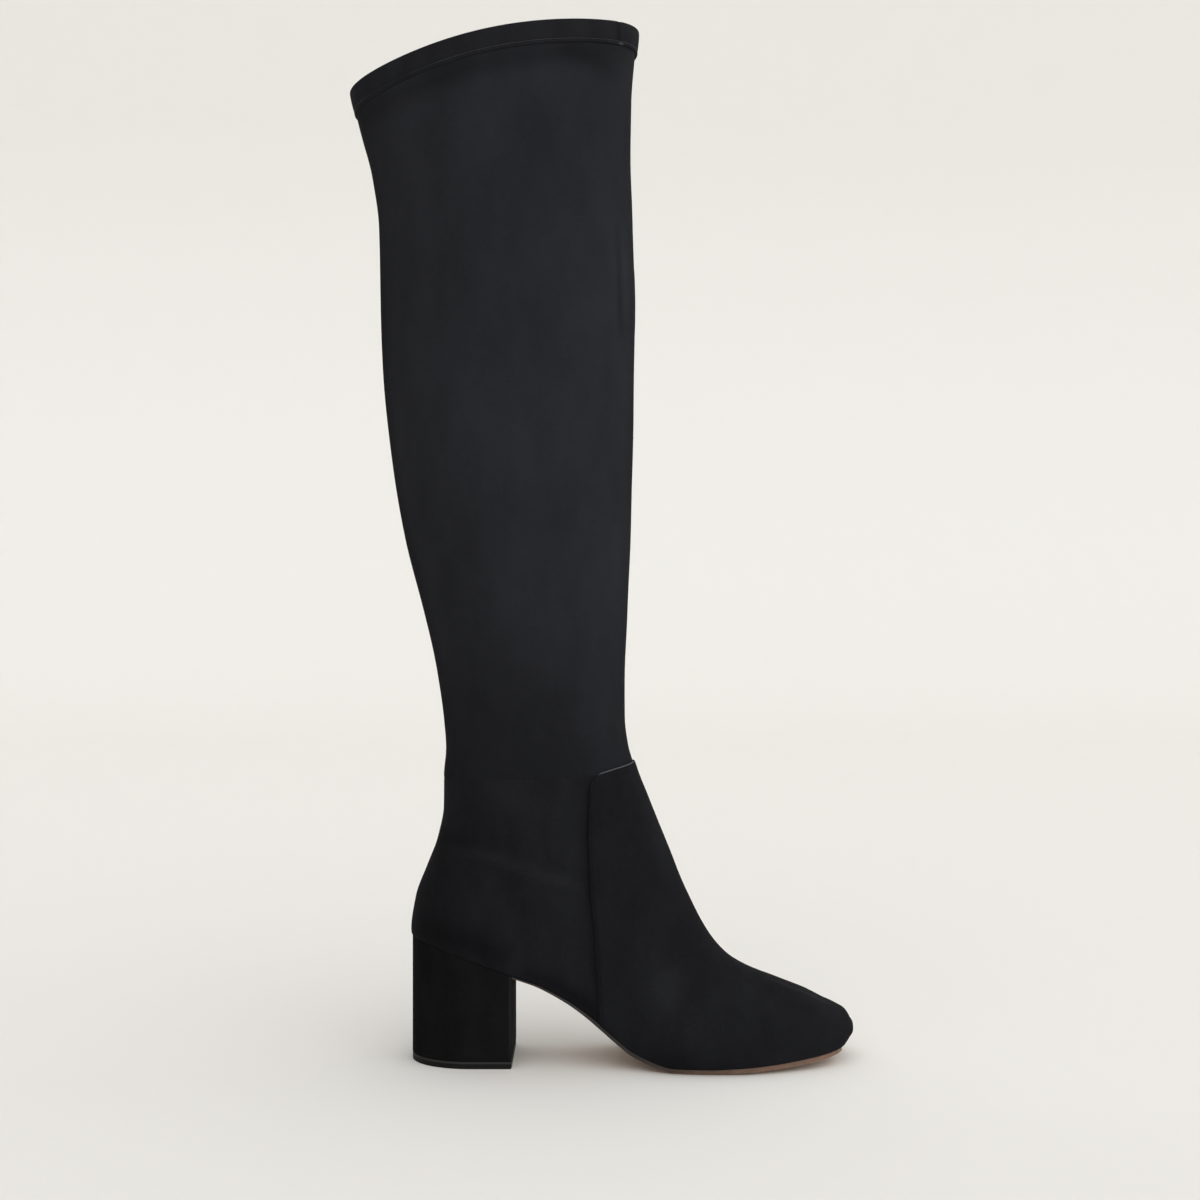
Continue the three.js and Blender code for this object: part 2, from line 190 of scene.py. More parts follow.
FOOT_COLUMNS = (
    *("top_along", "top_up", "low_along", "low_up"),
    *("outer", "inner", "sway", "widest", "low_power", "top_power"),
)
FOOT_ROWS = (
    (0.993, 0.09, 0.9703, 0.006, 0.165, 0.165, 0.045, 0.6, 2.4, 2.3),
    (0.989, 0.104, 0.954, -0.0635, 0.215, 0.212, 0.044, 0.6, 2.5, 2.4),
    (0.981, 0.145, 0.9425, -0.09, 0.27, 0.262, 0.0425, 0.5, 2.6, 2.5),
    (0.964, 0.178, 0.9266, -0.11, 0.32, 0.308, 0.04, 0.47, 2.5, 2.6),
    (0.935, 0.229, 0.899, -0.1266, 0.375, 0.357, 0.034, 0.43, 2.5, 2.6),
    (0.893, 0.3, 0.849, -0.135, 0.433, 0.406, 0.025, 0.39, 2.5, 2.5),
    (0.845, 0.365, 0.786, -0.132, 0.487, 0.446, 0.016, 0.37, 2.5, 2.3),
    (0.798, 0.429, 0.71, -0.13, 0.5225, 0.474, 0.01, 0.36, 2.5, 2.15),
    (0.754, 0.489, 0.627, -0.125, 0.525, 0.471, 0.004, 0.38, 2.5, 2.05),
    (0.714, 0.5615, 0.54, -0.15, 0.5, 0.425, 0, 0.4, 2.5, 1.95),
    (0.681, 0.657, 0.4325, -0.227, 0.431, 0.3625, 0, 0.42, 2.4, 1.9),
    (0.652, 0.776, 0.349, -0.175, 0.4, 0.35, 0, 0.43, 2.3, 1.9),
    (0.627, 0.906, 0.238, -0.184, 0.3875, 0.356, 0, 0.43, 2.2, 1.9),
    (0.604, 1.0385, 0.127, -0.193, 0.39, 0.375, 0, 0.42, 2.3, 1.92),
    (0.583, 1.177, 0.032, -0.174, 0.4, 0.3875, 0, 0.42, 2.3, 1.95),
    (0.5615, 1.304, 0.002, 0.017, 0.4125, 0.404, 0, 0.43, 2.3, 1.95),
    (0.544, 1.402, 0.0125, 0.224, 0.429, 0.4225, 0, 0.45, 2.25, 2),
    (0.529, 1.486, 0.0385, 0.434, 0.445, 0.44, 0, 0.46, 2.2, 2),
    (0.517, 1.551, 0.064, 0.633, 0.459, 0.456, 0, 0.47, 2.15, 2),
    (0.5115, 1.583, 0.0755, 0.81, 0.4675, 0.466, 0, 0.47, 2.1, 2),
    (0.5075, 1.609, 0.0755, 0.982, 0.475, 0.475, 0, 0.47, 2.1, 2),
)

LEG_COLUMNS = ("back", "back_up", "front", "front_up", "half", "arch")
LEG_ROWS = (
    (-0.236, 0.2053, 0.477, 0.2092, 0.42, 0),
    (-0.2435, 0.2385, 0.4655, 0.2385, 0.417, 0),
    (-0.266, 0.2835, 0.4655, 0.2835, 0.422, 0),
    (-0.326, 0.3597, 0.4755, 0.3597, 0.437, 0),
    (-0.398, 0.4399, 0.488, 0.4399, 0.459, 0),
    (-0.453, 0.5357, 0.4965, 0.5357, 0.483, 0),
    (-0.4835, 0.6276, 0.503, 0.6276, 0.5, 0),
    (-0.4945, 0.7136, 0.504, 0.7175, 0.506, 0),
    (-0.4985, 0.782, 0.495, 0.7937, 0.517, 0),
    (-0.526, 0.8387, 0.4875, 0.8641, 0.533, 0.2),
    (-0.566, 0.8827, 0.4905, 0.9228, 0.55, 0.5),
    (-0.596, 0.9169, 0.503, 0.9697, 0.561, 0.85),
    (-0.6077, 0.9306, 0.513, 0.9985, 0.567, 1),
)

# The vamp's side seam and top edge seen from the side: shares along the foot and of the instep's height.
VAMP_SEAM_ROWS = (
    *((0.41, 1.4), (0.4045, 1.352), (0.4015, 1.06), (0.406, 0.73)),
    *((0.4145, 0.53), (0.421, 0.3), (0.4275, 0.08), (0.432, -0.2)),
)
VAMP_TOP_ROWS = ((0.4, 1.365), (0.41, 1.4), (0.421, 1.436), (0.506, 1.655), (0.6, 1.79))


class Curve:
    """A smooth curve through a table's rows that never swings past them."""

    def __init__(self, at: Sequence[float], values: Sequence[float]) -> None:
        """Work out the slope at each row.

        Args:
            at: Rising places of the rows.
            values: The value at each row.
        """
        self.at = np.asarray(at, float)
        self.values = np.asarray(values, float)
        rise = np.diff(self.values) / np.diff(self.at)
        product = rise[:-1] * rise[1:]
        total = rise[:-1] + rise[1:]
        inner = np.where(product > 0, 2 * product / np.where(total == 0, 1, total), 0)
        self.slopes = np.concatenate([[rise[0]], inner, [rise[-1]]])

    def __call__(self, place: Places) -> np.ndarray:
        """Value of the curve at one or many places."""
        place = np.asarray(place, float)
        i = np.clip(np.searchsorted(self.at, place, side="right") - 1, 0, len(self.at) - 2)
        span = self.at[i + 1] - self.at[i]
        t = (place - self.at[i]) / span
        keep = 1 - t
        curve = self.values[i] * (1 + 2 * t) * keep**2 + self.values[i + 1] * t**2 * (3 - 2 * t)
        return curve + span * t * keep * (self.slopes[i] * keep - self.slopes[i + 1] * t)


class Last:
    """The boot's form, as sections from the toe to the collar."""

    def __init__(self, sizes: Sizes) -> None:
        """Build the curves through the tables.

        Args:
            sizes: The boot's sizes.
        """
        self.sizes = s = sizes
        sole = [dict(zip(SOLE_COLUMNS, row)) for row in SOLE_ROWS]
        at = [s.along(row["along"]) for row in sole]
        rise = [row["rise"] * s.heel_height + row["spring"] * s.toe_spring for row in sole]
        self.tread = Curve(at, rise)
        self.thick = Curve(at, [row["thick"] * s.sole for row in sole])
        sections = [self._foot_section(dict(zip(FOOT_COLUMNS, row))) for row in FOOT_ROWS]
        sections += [self._leg_section(dict(zip(LEG_COLUMNS, row))) for row in LEG_ROWS]
        middles = np.array([(a["top_x"] + a["low_x"], a["top_z"] + a["low_z"]) for a in sections]) / 2
        moves = np.linalg.norm(np.diff(middles, axis=0), axis=1)
        self.stations = np.concatenate([[0], np.cumsum(moves)])
        self.measures = {
            name: Curve(self.stations, [section[name] for section in sections]) for name in sections[0]
        }
        self.seam = float(self.stations[len(FOOT_ROWS) - 1])
        self.top = float(self.stations[-1])
        self.toe = sections[0]

    def _foot_section(self, row: dict[str, float]) -> dict[str, float]:
        """One section of the foot in millimetres."""
        s = self.sizes
        section = {name: row[name] for name in ("widest", "low_power", "top_power")}
        section |= {name: row[name] * s.ball_width for name in ("outer", "inner", "sway")}
        for end in ("top", "low"):
            x = s.along(row[end + "_along"])
            section[end + "_x"] = x
            section[end + "_z"] = float(self.bed(x)) + row[end + "_up"] * s.instep_height
        return section | {"arch": 0.0}

    def _leg_section(self, row: dict[str, float]) -> dict[str, float]:
        """One section of the leg in millimetres."""
        s = self.sizes
        section = {"sway": 0.0, "widest": 0.5, "low_power": 2.0, "top_power": 2.0}
        section["outer"] = section["inner"] = row["half"] * s.calf_width
        for end, name in (("top", "front"), ("low", "back")):
            section[end + "_x"] = s.leg_axis + row[name] * s.calf_depth
            section[end + "_z"] = s.heel_height + row[name + "_up"] * s.leg_height
        return section | {"arch": row["arch"] * s.collar_arch}

    def bed(self, x: Places) -> np.ndarray:
        """Height of the face that the upper stands on."""
        return self.tread(x) + self.thick(x)

    def over_bed(self, points: np.ndarray) -> np.ndarray:
        """How far points are over the feather line."""
        return points[..., 2] - self.bed(points[..., 0]) - self.sizes.gap

    def point(self, place: Places, turn: Places) -> np.ndarray:
        """Points on the form.

        Args:
            place: Places along the boot.
            turn: Turns round it: 0 on the top line, a quarter outer, a half on the low line.

        Returns:
            Points in millimetres, with X, Y and Z last.
        """
        place, turn = np.broadcast_arrays(np.asarray(place, float), np.asarray(turn, float))
        m = {name: curve(place) for name, curve in self.measures.items()}
        cos, sin = np.cos(2 * np.pi * turn), np.sin(2 * np.pi * turn)
        power = np.where(cos >= 0, m["top_power"], m["low_power"])
        rounding = (np.abs(cos) ** power + np.abs(sin) ** power) ** (1 / power)
        up = m["widest"] + cos / rounding * np.where(cos >= 0, 1 - m["widest"], m["widest"])
        side = -sin / rounding * np.where(sin >= 0, m["outer"], m["inner"])
        span_x, span_z = m["top_x"] - m["low_x"], m["top_z"] - m["low_z"]
        lift = m["arch"] * sin**4 / np.hypot(span_x, span_z)
        x = m["low_x"] + up * span_x - lift * span_z
        z = m["low_z"] + up * span_z + lift * span_x
        return np.stack([x, m["sway"] + side, z], axis=-1)

    def normal(self, place: Places, turn: Places) -> np.ndarray:
        """Unit vectors out of the form at places and turns."""
        step, twist = 0.05, 0.002
        near = np.clip(np.asarray(place, float), step, self.top - step)
        turn = np.asarray(turn)
        along = self.point(near + step, turn) - self.point(near - step, turn)
        around = self.point(near, turn + twist) - self.point(near, turn - twist)
        out = np.cross(along, around)
        return out / np.linalg.norm(out, axis=-1, keepdims=True)

    def nose(self) -> np.ndarray:
        """The foremost point of the toe."""
        toe, share, crown = self.toe, 0.7, 1.6
        x = toe["low_x"] + share * (toe["top_x"] - toe["low_x"]) + crown
        return np.array([x, toe["sway"], toe["low_z"] + share * (toe["top_z"] - toe["low_z"])])

    def edge_turn(self, place: np.ndarray, side: Side, inside: Callable) -> np.ndarray:
        """How far round a piece reaches from the top line.

        Args:
            place: Places along the boot.
            side: The side that is followed.
            inside: Gives a positive number for points that belong to the piece.

        Returns:
            Turns, a half where the piece closes underneath or behind.
        """
        low, high, halvings = np.zeros_like(place), np.full_like(place, 0.5), 32
        whole = inside(self.point(place, high * side.value)) > 0
        for _ in range(halvings):
            middle = (low + high) / 2
            good = inside(self.point(place, middle * side.value)) > 0
            low, high = np.where(good, middle, low), np.where(good, high, middle)
        return np.where(whole, 0.5, low)


# Folds, painted light and shade, and soft forms in the cloth


@dataclass(frozen=True)
class Stroke:
    """A soft line, where the cloth is raised or where light or shade is painted into its colour.

    Args:
        line: Points in millimetres, either X and Z seen from the side, or all three.
        amount: Height in millimetres, or the painted change of brightness as a share of the cloth's own.
        width: How wide it is, from one soft edge to the other.
        side: Which side of the boot it is on.
    """

    line: Line
    amount: float
    width: float
    side: Side = Side.BOTH

    def at(self, points: np.ndarray) -> np.ndarray:
        """The stroke's amount at each point, fading to its ends."""
        flat = points[..., [0, 2]] if len(self.line[0]) == 2 else points
        best = np.full(flat.shape[:-1], np.inf)
        share = np.zeros(flat.shape[:-1])
        for i, (a, b) in enumerate(zip(self.line, self.line[1:])):
            start, way = np.array(a), np.array(b) - np.array(a)
            t = np.clip(((flat - start) @ way) / (way @ way), 0, 1)
            gap = np.linalg.norm(flat - start - t[..., None] * way, axis=-1)
            share = np.where(gap < best, (i + t) / (len(self.line) - 1), share)
            best = np.minimum(best, gap)
        reach, blend = self.width / 2.4, 2.5
        fade = np.clip(4 * share * (1 - share), 0, 1) ** 0.5 * np.exp(-((best / reach) ** 2))
        if self.side is not Side.BOTH:
            fade = fade / (1 + np.exp(points[..., 1] * self.side.value / blend))
        return self.amount * fade


# Troughs have a negative height. First the upright crease and ridge at the front of the thigh, then the
# soft pulls over knee and calf, and the gathers above the ankle.
LEG_FOLDS = (
    Stroke(((87, 492), (88.5, 455), (89.5, 420)), -0.9, 7, Side.OUTER),
    Stroke(((81, 470), (83, 440), (85, 405)), 0.7, 9, Side.OUTER),
    Stroke(((91, 412), (93, 430), (92, 448)), 0.6, 16),
    Stroke(((78, 385), (60, 350), (48, 318)), 0.55, 26, Side.OUTER),
    Stroke(((-40, 452), (-20, 440), (6, 438)), -0.6, 20),
    Stroke(((-30, 330), (-8, 318), (14, 322)), 0.5, 22),
    Stroke(((88, 212), (70, 202), (46, 204)), -0.7, 13),
    Stroke(((90, 194), (72, 186), (50, 187)), 0.55, 10),
    Stroke(((-4, 205), (16, 196), (38, 199)), -0.6, 14),
    Stroke(((-6, 184), (14, 178), (34, 181)), 0.45, 11),
    Stroke(((84, 300), (70, 280), (62, 250)), -0.5, 18, Side.INNER),
)
# The counter's top edge with the hollow over it, the give of ankle and instep, the flex at the ball, and
# the fullness where the toe turns down.
FOOT_FOLDS = (
    Stroke(((-13, 123), (4, 120.5), (20, 117.5), (31, 113), (48, 106), (70, 99.5)), 0.8, 7),
    Stroke(((-12, 130), (4, 128), (20, 125), (34, 119), (52, 112), (68, 106)), -0.75, 12),
    Stroke(((86, 140), (72, 128), (52, 126)), -0.7, 14),
    Stroke(((78, 114), (60, 112), (36, 122)), 0.4, 14),
    Stroke(((104, 128), (92, 116), (84, 100)), -0.45, 14),
    Stroke(((134, 62), (124, 50), (118, 36)), -0.5, 12),
    Stroke(((146, 54), (138, 44), (134, 32)), 0.45, 12),
    Stroke(((206, 30.5), (218.4, 23), (220.6, 13)), 0.5, 9),
)
# Painted light and shade on the leg: painted shade in the crease and a painted highlight on its edge, the
# front painted paler where more light falls, and painted shade under the collar's front.
LEG_PAINTED_LIGHT = (
    Stroke(((87.2, 470), (88.4, 440), (89.2, 418), (89.8, 405)), -0.3, 3.2, Side.OUTER),
    Stroke(((90.6, 470), (91.6, 440), (92.2, 415)), 0.16, 3.5, Side.OUTER),
    Stroke(((70, 520), (72, 400), (70, 300), (64, 180)), 0.2, 44),
    Stroke(((54, 560), (74, 557), (90, 550)), -0.22, 16, Side.OUTER),
)
# Painted shade in the join of the band's ends, and a small painted highlight on it.
BAND_PAINTED_LIGHT = (
    Stroke(((88, 586), (88, 574), (88, 562)), -0.35, 3.2, Side.OUTER),
    Stroke(((89.4, 569.6), (89.6, 568.4)), 4.5, 2.6, Side.OUTER),
)
# Painted shade dims the stitches' painted highlight at the back and near the join.
BAND_STITCH_PAINTED_SHADE = (
    Stroke(((-100, 520), (-45, 546), (-15, 556)), -0.55, 34),
    Stroke(((62, 570), (77, 570.5), (90, 571)), -0.4, 10, Side.OUTER),
)
# Painted light and shade on the quarters: a painted highlight on the counter's edge and painted shade over
# it, the ankle painted paler, painted shade by the heel's seat and along the waist, and the quarter painted
# paler behind the vamp.
FOOT_PAINTED_LIGHT = (
    Stroke(((-13, 123.5), (4, 121), (20, 118), (31, 113.5), (48, 106.5), (70, 100)), 0.26, 8),
    Stroke(((-20, 128), (-6, 126), (10, 124)), -0.25, 14),
    Stroke(((-12, 152), (24, 152), (60, 150)), 0.16, 34),
    Stroke(((-26, 77), (-6, 73), (12, 68), (29, 60)), -0.42, 22),
    Stroke(((34, 54), (50, 49), (70, 36), (88, 20)), -0.35, 12),
    Stroke(((42, 154), (43, 122), (40, 92)), 0.26, 26),
)
# A painted highlight on the corner at the heel's breast, and its lower edge a little lighter.
HEEL_PAINTED_HIGHLIGHT_AND_TONE = (
    Stroke(((28.1, 5), (28.1, 30), (28.1, 62)), 1.5, 1.5),
    Stroke(((-28, 10), (0, 7), (28, 7)), 0.15, 14),
)
# Painted shade behind the ball, the ball painted paler where light falls on it, and painted shade behind the
# toe.
VAMP_PAINTED_LIGHT = (
    Stroke(((84, 100), (88, 62), (98, 24)), -0.1, 20),
    Stroke(((112, 56), (121, 34), (128, 12)), 0.42, 26),
    Stroke(((168, 34), (172, 22), (176, 10)), -0.14, 26),
)


def side_line(points: np.ndarray) -> Line:
    """A line of X and Z from points on the form."""
    return tuple((float(x), float(z)) for x, _, z in points)


def falloff(distance: np.ndarray, width: float) -> np.ndarray:
    """A soft bell, one at no distance and near nothing past the width."""
    return np.exp(-((distance / (width / 2)) ** 2))


@dataclass(frozen=True)
class Cloth:
    """How the cloth departs from the bare form: folds, seams and slight unevenness."""

    last: Last
    seam_dip: float = 0.12
    seam_width: float = 1.4
    hem_fade: float = 8.0
    tuck: float = 0.9

    def _swell(self, points: np.ndarray, reach: float, depth: float) -> np.ndarray:
        """Slow waves in the skin, of a rough size and height."""
        x, y, z = np.moveaxis(points / reach, -1, 0)
        waves = np.sin(1.9 * x + 0.7 * z + 0.4) * np.sin(1.3 * z - 0.8 * y + 1.1)
        return depth * (waves + 0.6 * np.sin(2.7 * z + 1.6 * y + 2.3) * np.sin(2.1 * x - 0.5 * y))

    def _back_seam(self, points: np.ndarray, depth: float) -> np.ndarray:
        """A closed seam down the middle of the back."""
        share, welt, cleft = 0.4, 6, 1.5
        groove = share * depth * falloff(points[..., 1], welt) - depth * falloff(points[..., 1], cleft)
        return np.where(points[..., 0] < self.last.sizes.leg_axis, groove, 0)

    def leg(self, points: np.ndarray, place: np.ndarray) -> np.ndarray:
        """Moves of the stretch leg's skin."""
        last = self.last
        lift = sum(fold.at(points) for fold in LEG_FOLDS)
        lift = lift + self._swell(points, 26, 0.16) + self._back_seam(points, 0.32)
        lift = lift - self.seam_dip * falloff(place - last.seam, self.seam_width)
        hem = last.top - 1.4 * last.sizes.band_height - place
        return lift * np.clip(hem / self.hem_fade, 0, 1)

    def _tuck(self, points: np.ndarray) -> np.ndarray:
        """How strongly the skin turns in towards the feather line."""
        return np.exp(-np.clip(self.last.over_bed(points), 0, None) / self.tuck)

    def foot(self, points: np.ndarray, place: np.ndarray) -> np.ndarray:
        """Moves of the lasted foot's skin."""
        lift = sum(fold.at(points) for fold in FOOT_FOLDS)
        lift = lift + self._swell(points, 17, 0.1) + self._back_seam(points, 0.3)
        lift = lift - self.seam_dip * falloff(self.last.seam - place, self.seam_width)
        rounding = np.where(points[..., 0] < self.last.sizes.heel_breast, 0.25, 0.45)
        return lift - rounding * self._tuck(points)

    def vamp(self, points: np.ndarray, place: np.ndarray) -> np.ndarray:
        """Moves of the vamp: those of the foot without its seams, and the ridges of the toe."""
        lift = sum(fold.at(points) for fold in FOOT_FOLDS) + self._swell(points, 17, 0.1)
        ridges = (Stroke(line, amount=0.35, width=4.2) for line in self.toe_ridges())
        lift = lift + sum(ridge.at(points) for ridge in ridges)
        return np.clip(lift, -0.2, None) - 0.5 * self._tuck(points)

    def toe_ridges(self, out: float = 0.0) -> list[Line]:
        """The two soft ridges where the toe's flat top turns down, raised by a distance."""
        count, start, end = 12, 0.032, 0.044
        places = np.linspace(self.last.stations[7], self.last.stations[2], count)
        turns = np.linspace(start, end, count)
        lines = [self.last.point(places, side * turns) + np.array([0, 0, out]) for side in (1, -1)]
        return [tuple(tuple(map(float, point)) for point in line) for line in lines]


# Meshes


def mesh_object(name: str, points: np.ndarray, faces: Faces, slots: Sequence[int] = ()) -> Piece:
    """Make a smooth mesh object at the origin.

    Args:
        name: Name of the piece.
        points: Points in millimetres.
        faces: Corners of each face.
        slots: Material slot of each face.

    Returns:
        The new object.
    """
    mesh = bpy.data.meshes.new(name)
    mesh.from_pydata((points * MM).tolist(), [], faces)
    mesh.update()
    mesh.polygons.foreach_set("use_smooth", [True] * len(mesh.polygons))
    if len(slots):
        mesh.polygons.foreach_set("material_index", slots)
    made = bpy.data.objects.new(name, mesh)
    bpy.context.scene.collection.objects.link(made)
    return made


def sharpen(piece: Piece, degrees: float) -> None:
    """Keep edges sharper than an angle crisp, and the rest smooth."""
    piece.data.update()
    piece.data.set_sharp_from_angle(angle=math.radians(degrees))


def close_up(piece: Piece, degrees: float) -> None:
    """Merge doubled points, drop loose ones, turn the faces outwards and keep sharp edges crisp."""
    made = bmesh.new()
    made.from_mesh(piece.data)
    bmesh.ops.remove_doubles(made, verts=made.verts, dist=0.00001)
    loose = [vert for vert in made.verts if not vert.link_faces]
    bmesh.ops.delete(made, geom=loose, context="VERTS")
    bmesh.ops.recalc_face_normals(made, faces=made.faces)
    made.to_mesh(piece.data)
    made.free()
    sharpen(piece, degrees)


def grid_faces(rows: int, columns: int, start: int = 0, close: bool = False, flip: bool = False) -> Faces:
    """Four-sided faces of a grid of points.

    Args:
        rows: Rows of points.
        columns: Points in a row.
        start: Number of the grid's first point.
        close: Whether each row joins its end to its start.
        flip: Whether the faces look the other way.

    Returns:
        Corner numbers of each face.
    """
    faces = []
    for i in range(rows - 1):
        for j in range(columns if close else columns - 1):
            k = (j + 1) % columns
            a, b = start + i * columns, start + (i + 1) * columns
            face = [a + j, b + j, b + k, a + k]
            faces.append(face[::-1] if flip else face)
    return faces


def ring_faces(rows: int, columns: int) -> Faces:
    """Faces of closed rows whose last row joins the first."""
    end, after = (rows - 1) * columns, [(j + 1) % columns for j in range(columns)]
    return grid_faces(rows, columns, close=True) + [[end + j, j, k, end + k] for j, k in enumerate(after)]


class TrimmedSkin:
    """A walled piece of the foot, from the nose of the toe up to its own cut edge."""

    samples: int = 3000
    nose_rows: int = 9
    nose_power: float = 1.65

    def __init__(self, last: Last, inside: Callable, end: float, rows: int, columns: int) -> None:
        """Lay out a grid of places and turns.

        Args:
            last: The boot's form.
            inside: Gives a positive number for points that belong to the piece.
            end: Place where the piece ends.
            rows: Rows of points after the nose.
            columns: Points in a row.
        """
        self.last = last
        fine = np.linspace(0, end, self.samples)
        tops, rims = last.point(fine, 0 * fine), last.point(fine, last.edge_turn(fine, Side.OUTER, inside))
        path = sum(np.linalg.norm(np.diff(line, axis=0), axis=1) for line in (tops, rims))
        length = np.concatenate([[0], np.cumsum(path)])
        self.place = np.interp(np.linspace(0, length[-1], rows), length, fine)
        outer, inner = (last.edge_turn(self.place, side, inside) for side in (Side.OUTER, Side.INNER))
        share = np.linspace(-1, 1, columns)
        self.turn = np.where(share < 0, -share * outer[:, None], -share * inner[:, None])
        self.closed = (outer >= 0.5) & (inner >= 0.5)
        self.rows, self.columns = rows, columns

    def skin(self, out: float, move: Callable) -> np.ndarray:
        """The grid's points set out from the form.

        Args:
            out: Distance from the form.
            move: Further moves, from points and places.

        Returns:
            Points of the nose rows and the rest, row by row.
        """
        place = np.broadcast_to(self.place[:, None], self.turn.shape)
        bare = self.last.point(place, self.turn)
        shift = out + move(bare, place)
        body = bare + self.last.normal(place, self.turn) * shift[..., None]
        tip, first = self.last.nose() + np.array([out, 0, 0]), body[0]
        dome = [tip[None]]
        for r in np.sin(np.linspace(0, np.pi / 2, self.nose_rows + 1)[1:-1]):
            ahead = (1 - r**self.nose_power) ** (1 / self.nose_power)
            ring = tip + (first - tip) * r
            ring[:, 0] = first[:, 0] + (tip[0] - first[:, 0]) * ahead
            dome.append(ring)
        return np.concatenate([*dome, body.reshape(-1, 3)])

    def faces(self, start: int, flip: bool) -> tuple[Faces, Faces]:
        """Faces of one skin, and the lines of its open edge.

        Args:
            start: Number of the skin's first point.
            flip: Whether the skin looks inwards.

        Returns:
            The faces, and pairs of neighbouring points along the open edge.
        """
        columns, rows = self.columns, self.rows + self.nose_rows - 1
        closed = np.concatenate([np.full(self.nose_rows - 1, True), self.closed])

        def number(i: int, j: int) -> int:
            """Number of a point, the two ends of a closed row being one."""
            return start + 1 + i * columns + (0 if closed[i] and j == columns - 1 else j)

        way = 1 if flip else -1
        faces = [[start, number(0, j + 1), number(0, j)][::way] for j in range(columns - 1)]
        edge = []
        for i in range(rows - 1):
            for j in range(columns - 1):
                face = [number(i, j), number(i + 1, j), number(i + 1, j + 1), number(i, j + 1)]
                face = list(dict.fromkeys(face))
                if len(face) > 2:
                    faces.append(face[::-way])
            if not (closed[i] and closed[i + 1]):
                edge.append([number(i + 1, 0), number(i, 0)])
                edge.append([number(i, columns - 1), number(i + 1, columns - 1)])
        if closed[-1]:
            edge += [[number(rows - 1, j + 1), number(rows - 1, j)] for j in range(columns - 1)]
        return faces, edge

    def shell(self, name: str, outside: np.ndarray, inside: np.ndarray, crisp: float) -> Piece:
        """A closed piece between two skins.

        Args:
            name: Name of the piece.
            outside: Points of the outer skin.
            inside: Points of the inner skin.
            crisp: Angle in degrees from which its edges stay crisp.

        Returns:
            The object, with slot 0 outside, 1 inside and 2 on the cut edge.
        """
        outer_faces, edge = self.faces(0, False)
        inner_faces, _ = self.faces(len(outside), True)
        shift = len(outside)
        rim = [[a, b, b + shift, a + shift] for a, b in edge if a != b]
        slots = [0] * len(outer_faces) + [1] * len(inner_faces) + [2] * len(rim)
        points = np.concatenate([outside, inside])
        piece = mesh_object(name, points, outer_faces + inner_faces + rim, slots)
        close_up(piece, crisp)
        return piece


# Finishes


@dataclass(frozen=True)
class Look:
    """What every finish shares.

    Args:
        name: Name of the material.
    """

    name: str

    def _start(self) -> tuple[Material, Tree, Socket]:
        """A new material, its node tree and the Object coordinates."""
        made = bpy.data.materials.new(self.name)
        made.use_nodes = True
        return made, made.node_tree, add_node(made.node_tree, "ShaderNodeTexCoord", out="Object")

    def _end(self, made: Material, colour: Socket, normal: Socket, numbers: dict[str, float]) -> Material:
        """Link colour and relief to the shader, set its numbers and return the material."""
        shader = made.node_tree.nodes["Principled BSDF"]
        made.node_tree.links.new(colour, shader.inputs["Base Color"])
        made.node_tree.links.new(normal, shader.inputs["Normal"])
        for name, value in numbers.items():
            shader.inputs[name].default_value = value
        return made

    def _painted_light(self, tree: Tree, colour: Socket) -> Socket:
        """The colour times the painted light and shade written in the nap attribute."""
        nap = add_node(tree, "ShaderNodeAttribute", out="Fac", attribute_name="nap")
        return add_node(tree, "ShaderNodeVectorMath", {0: colour, "Scale": nap}, operation="SCALE")


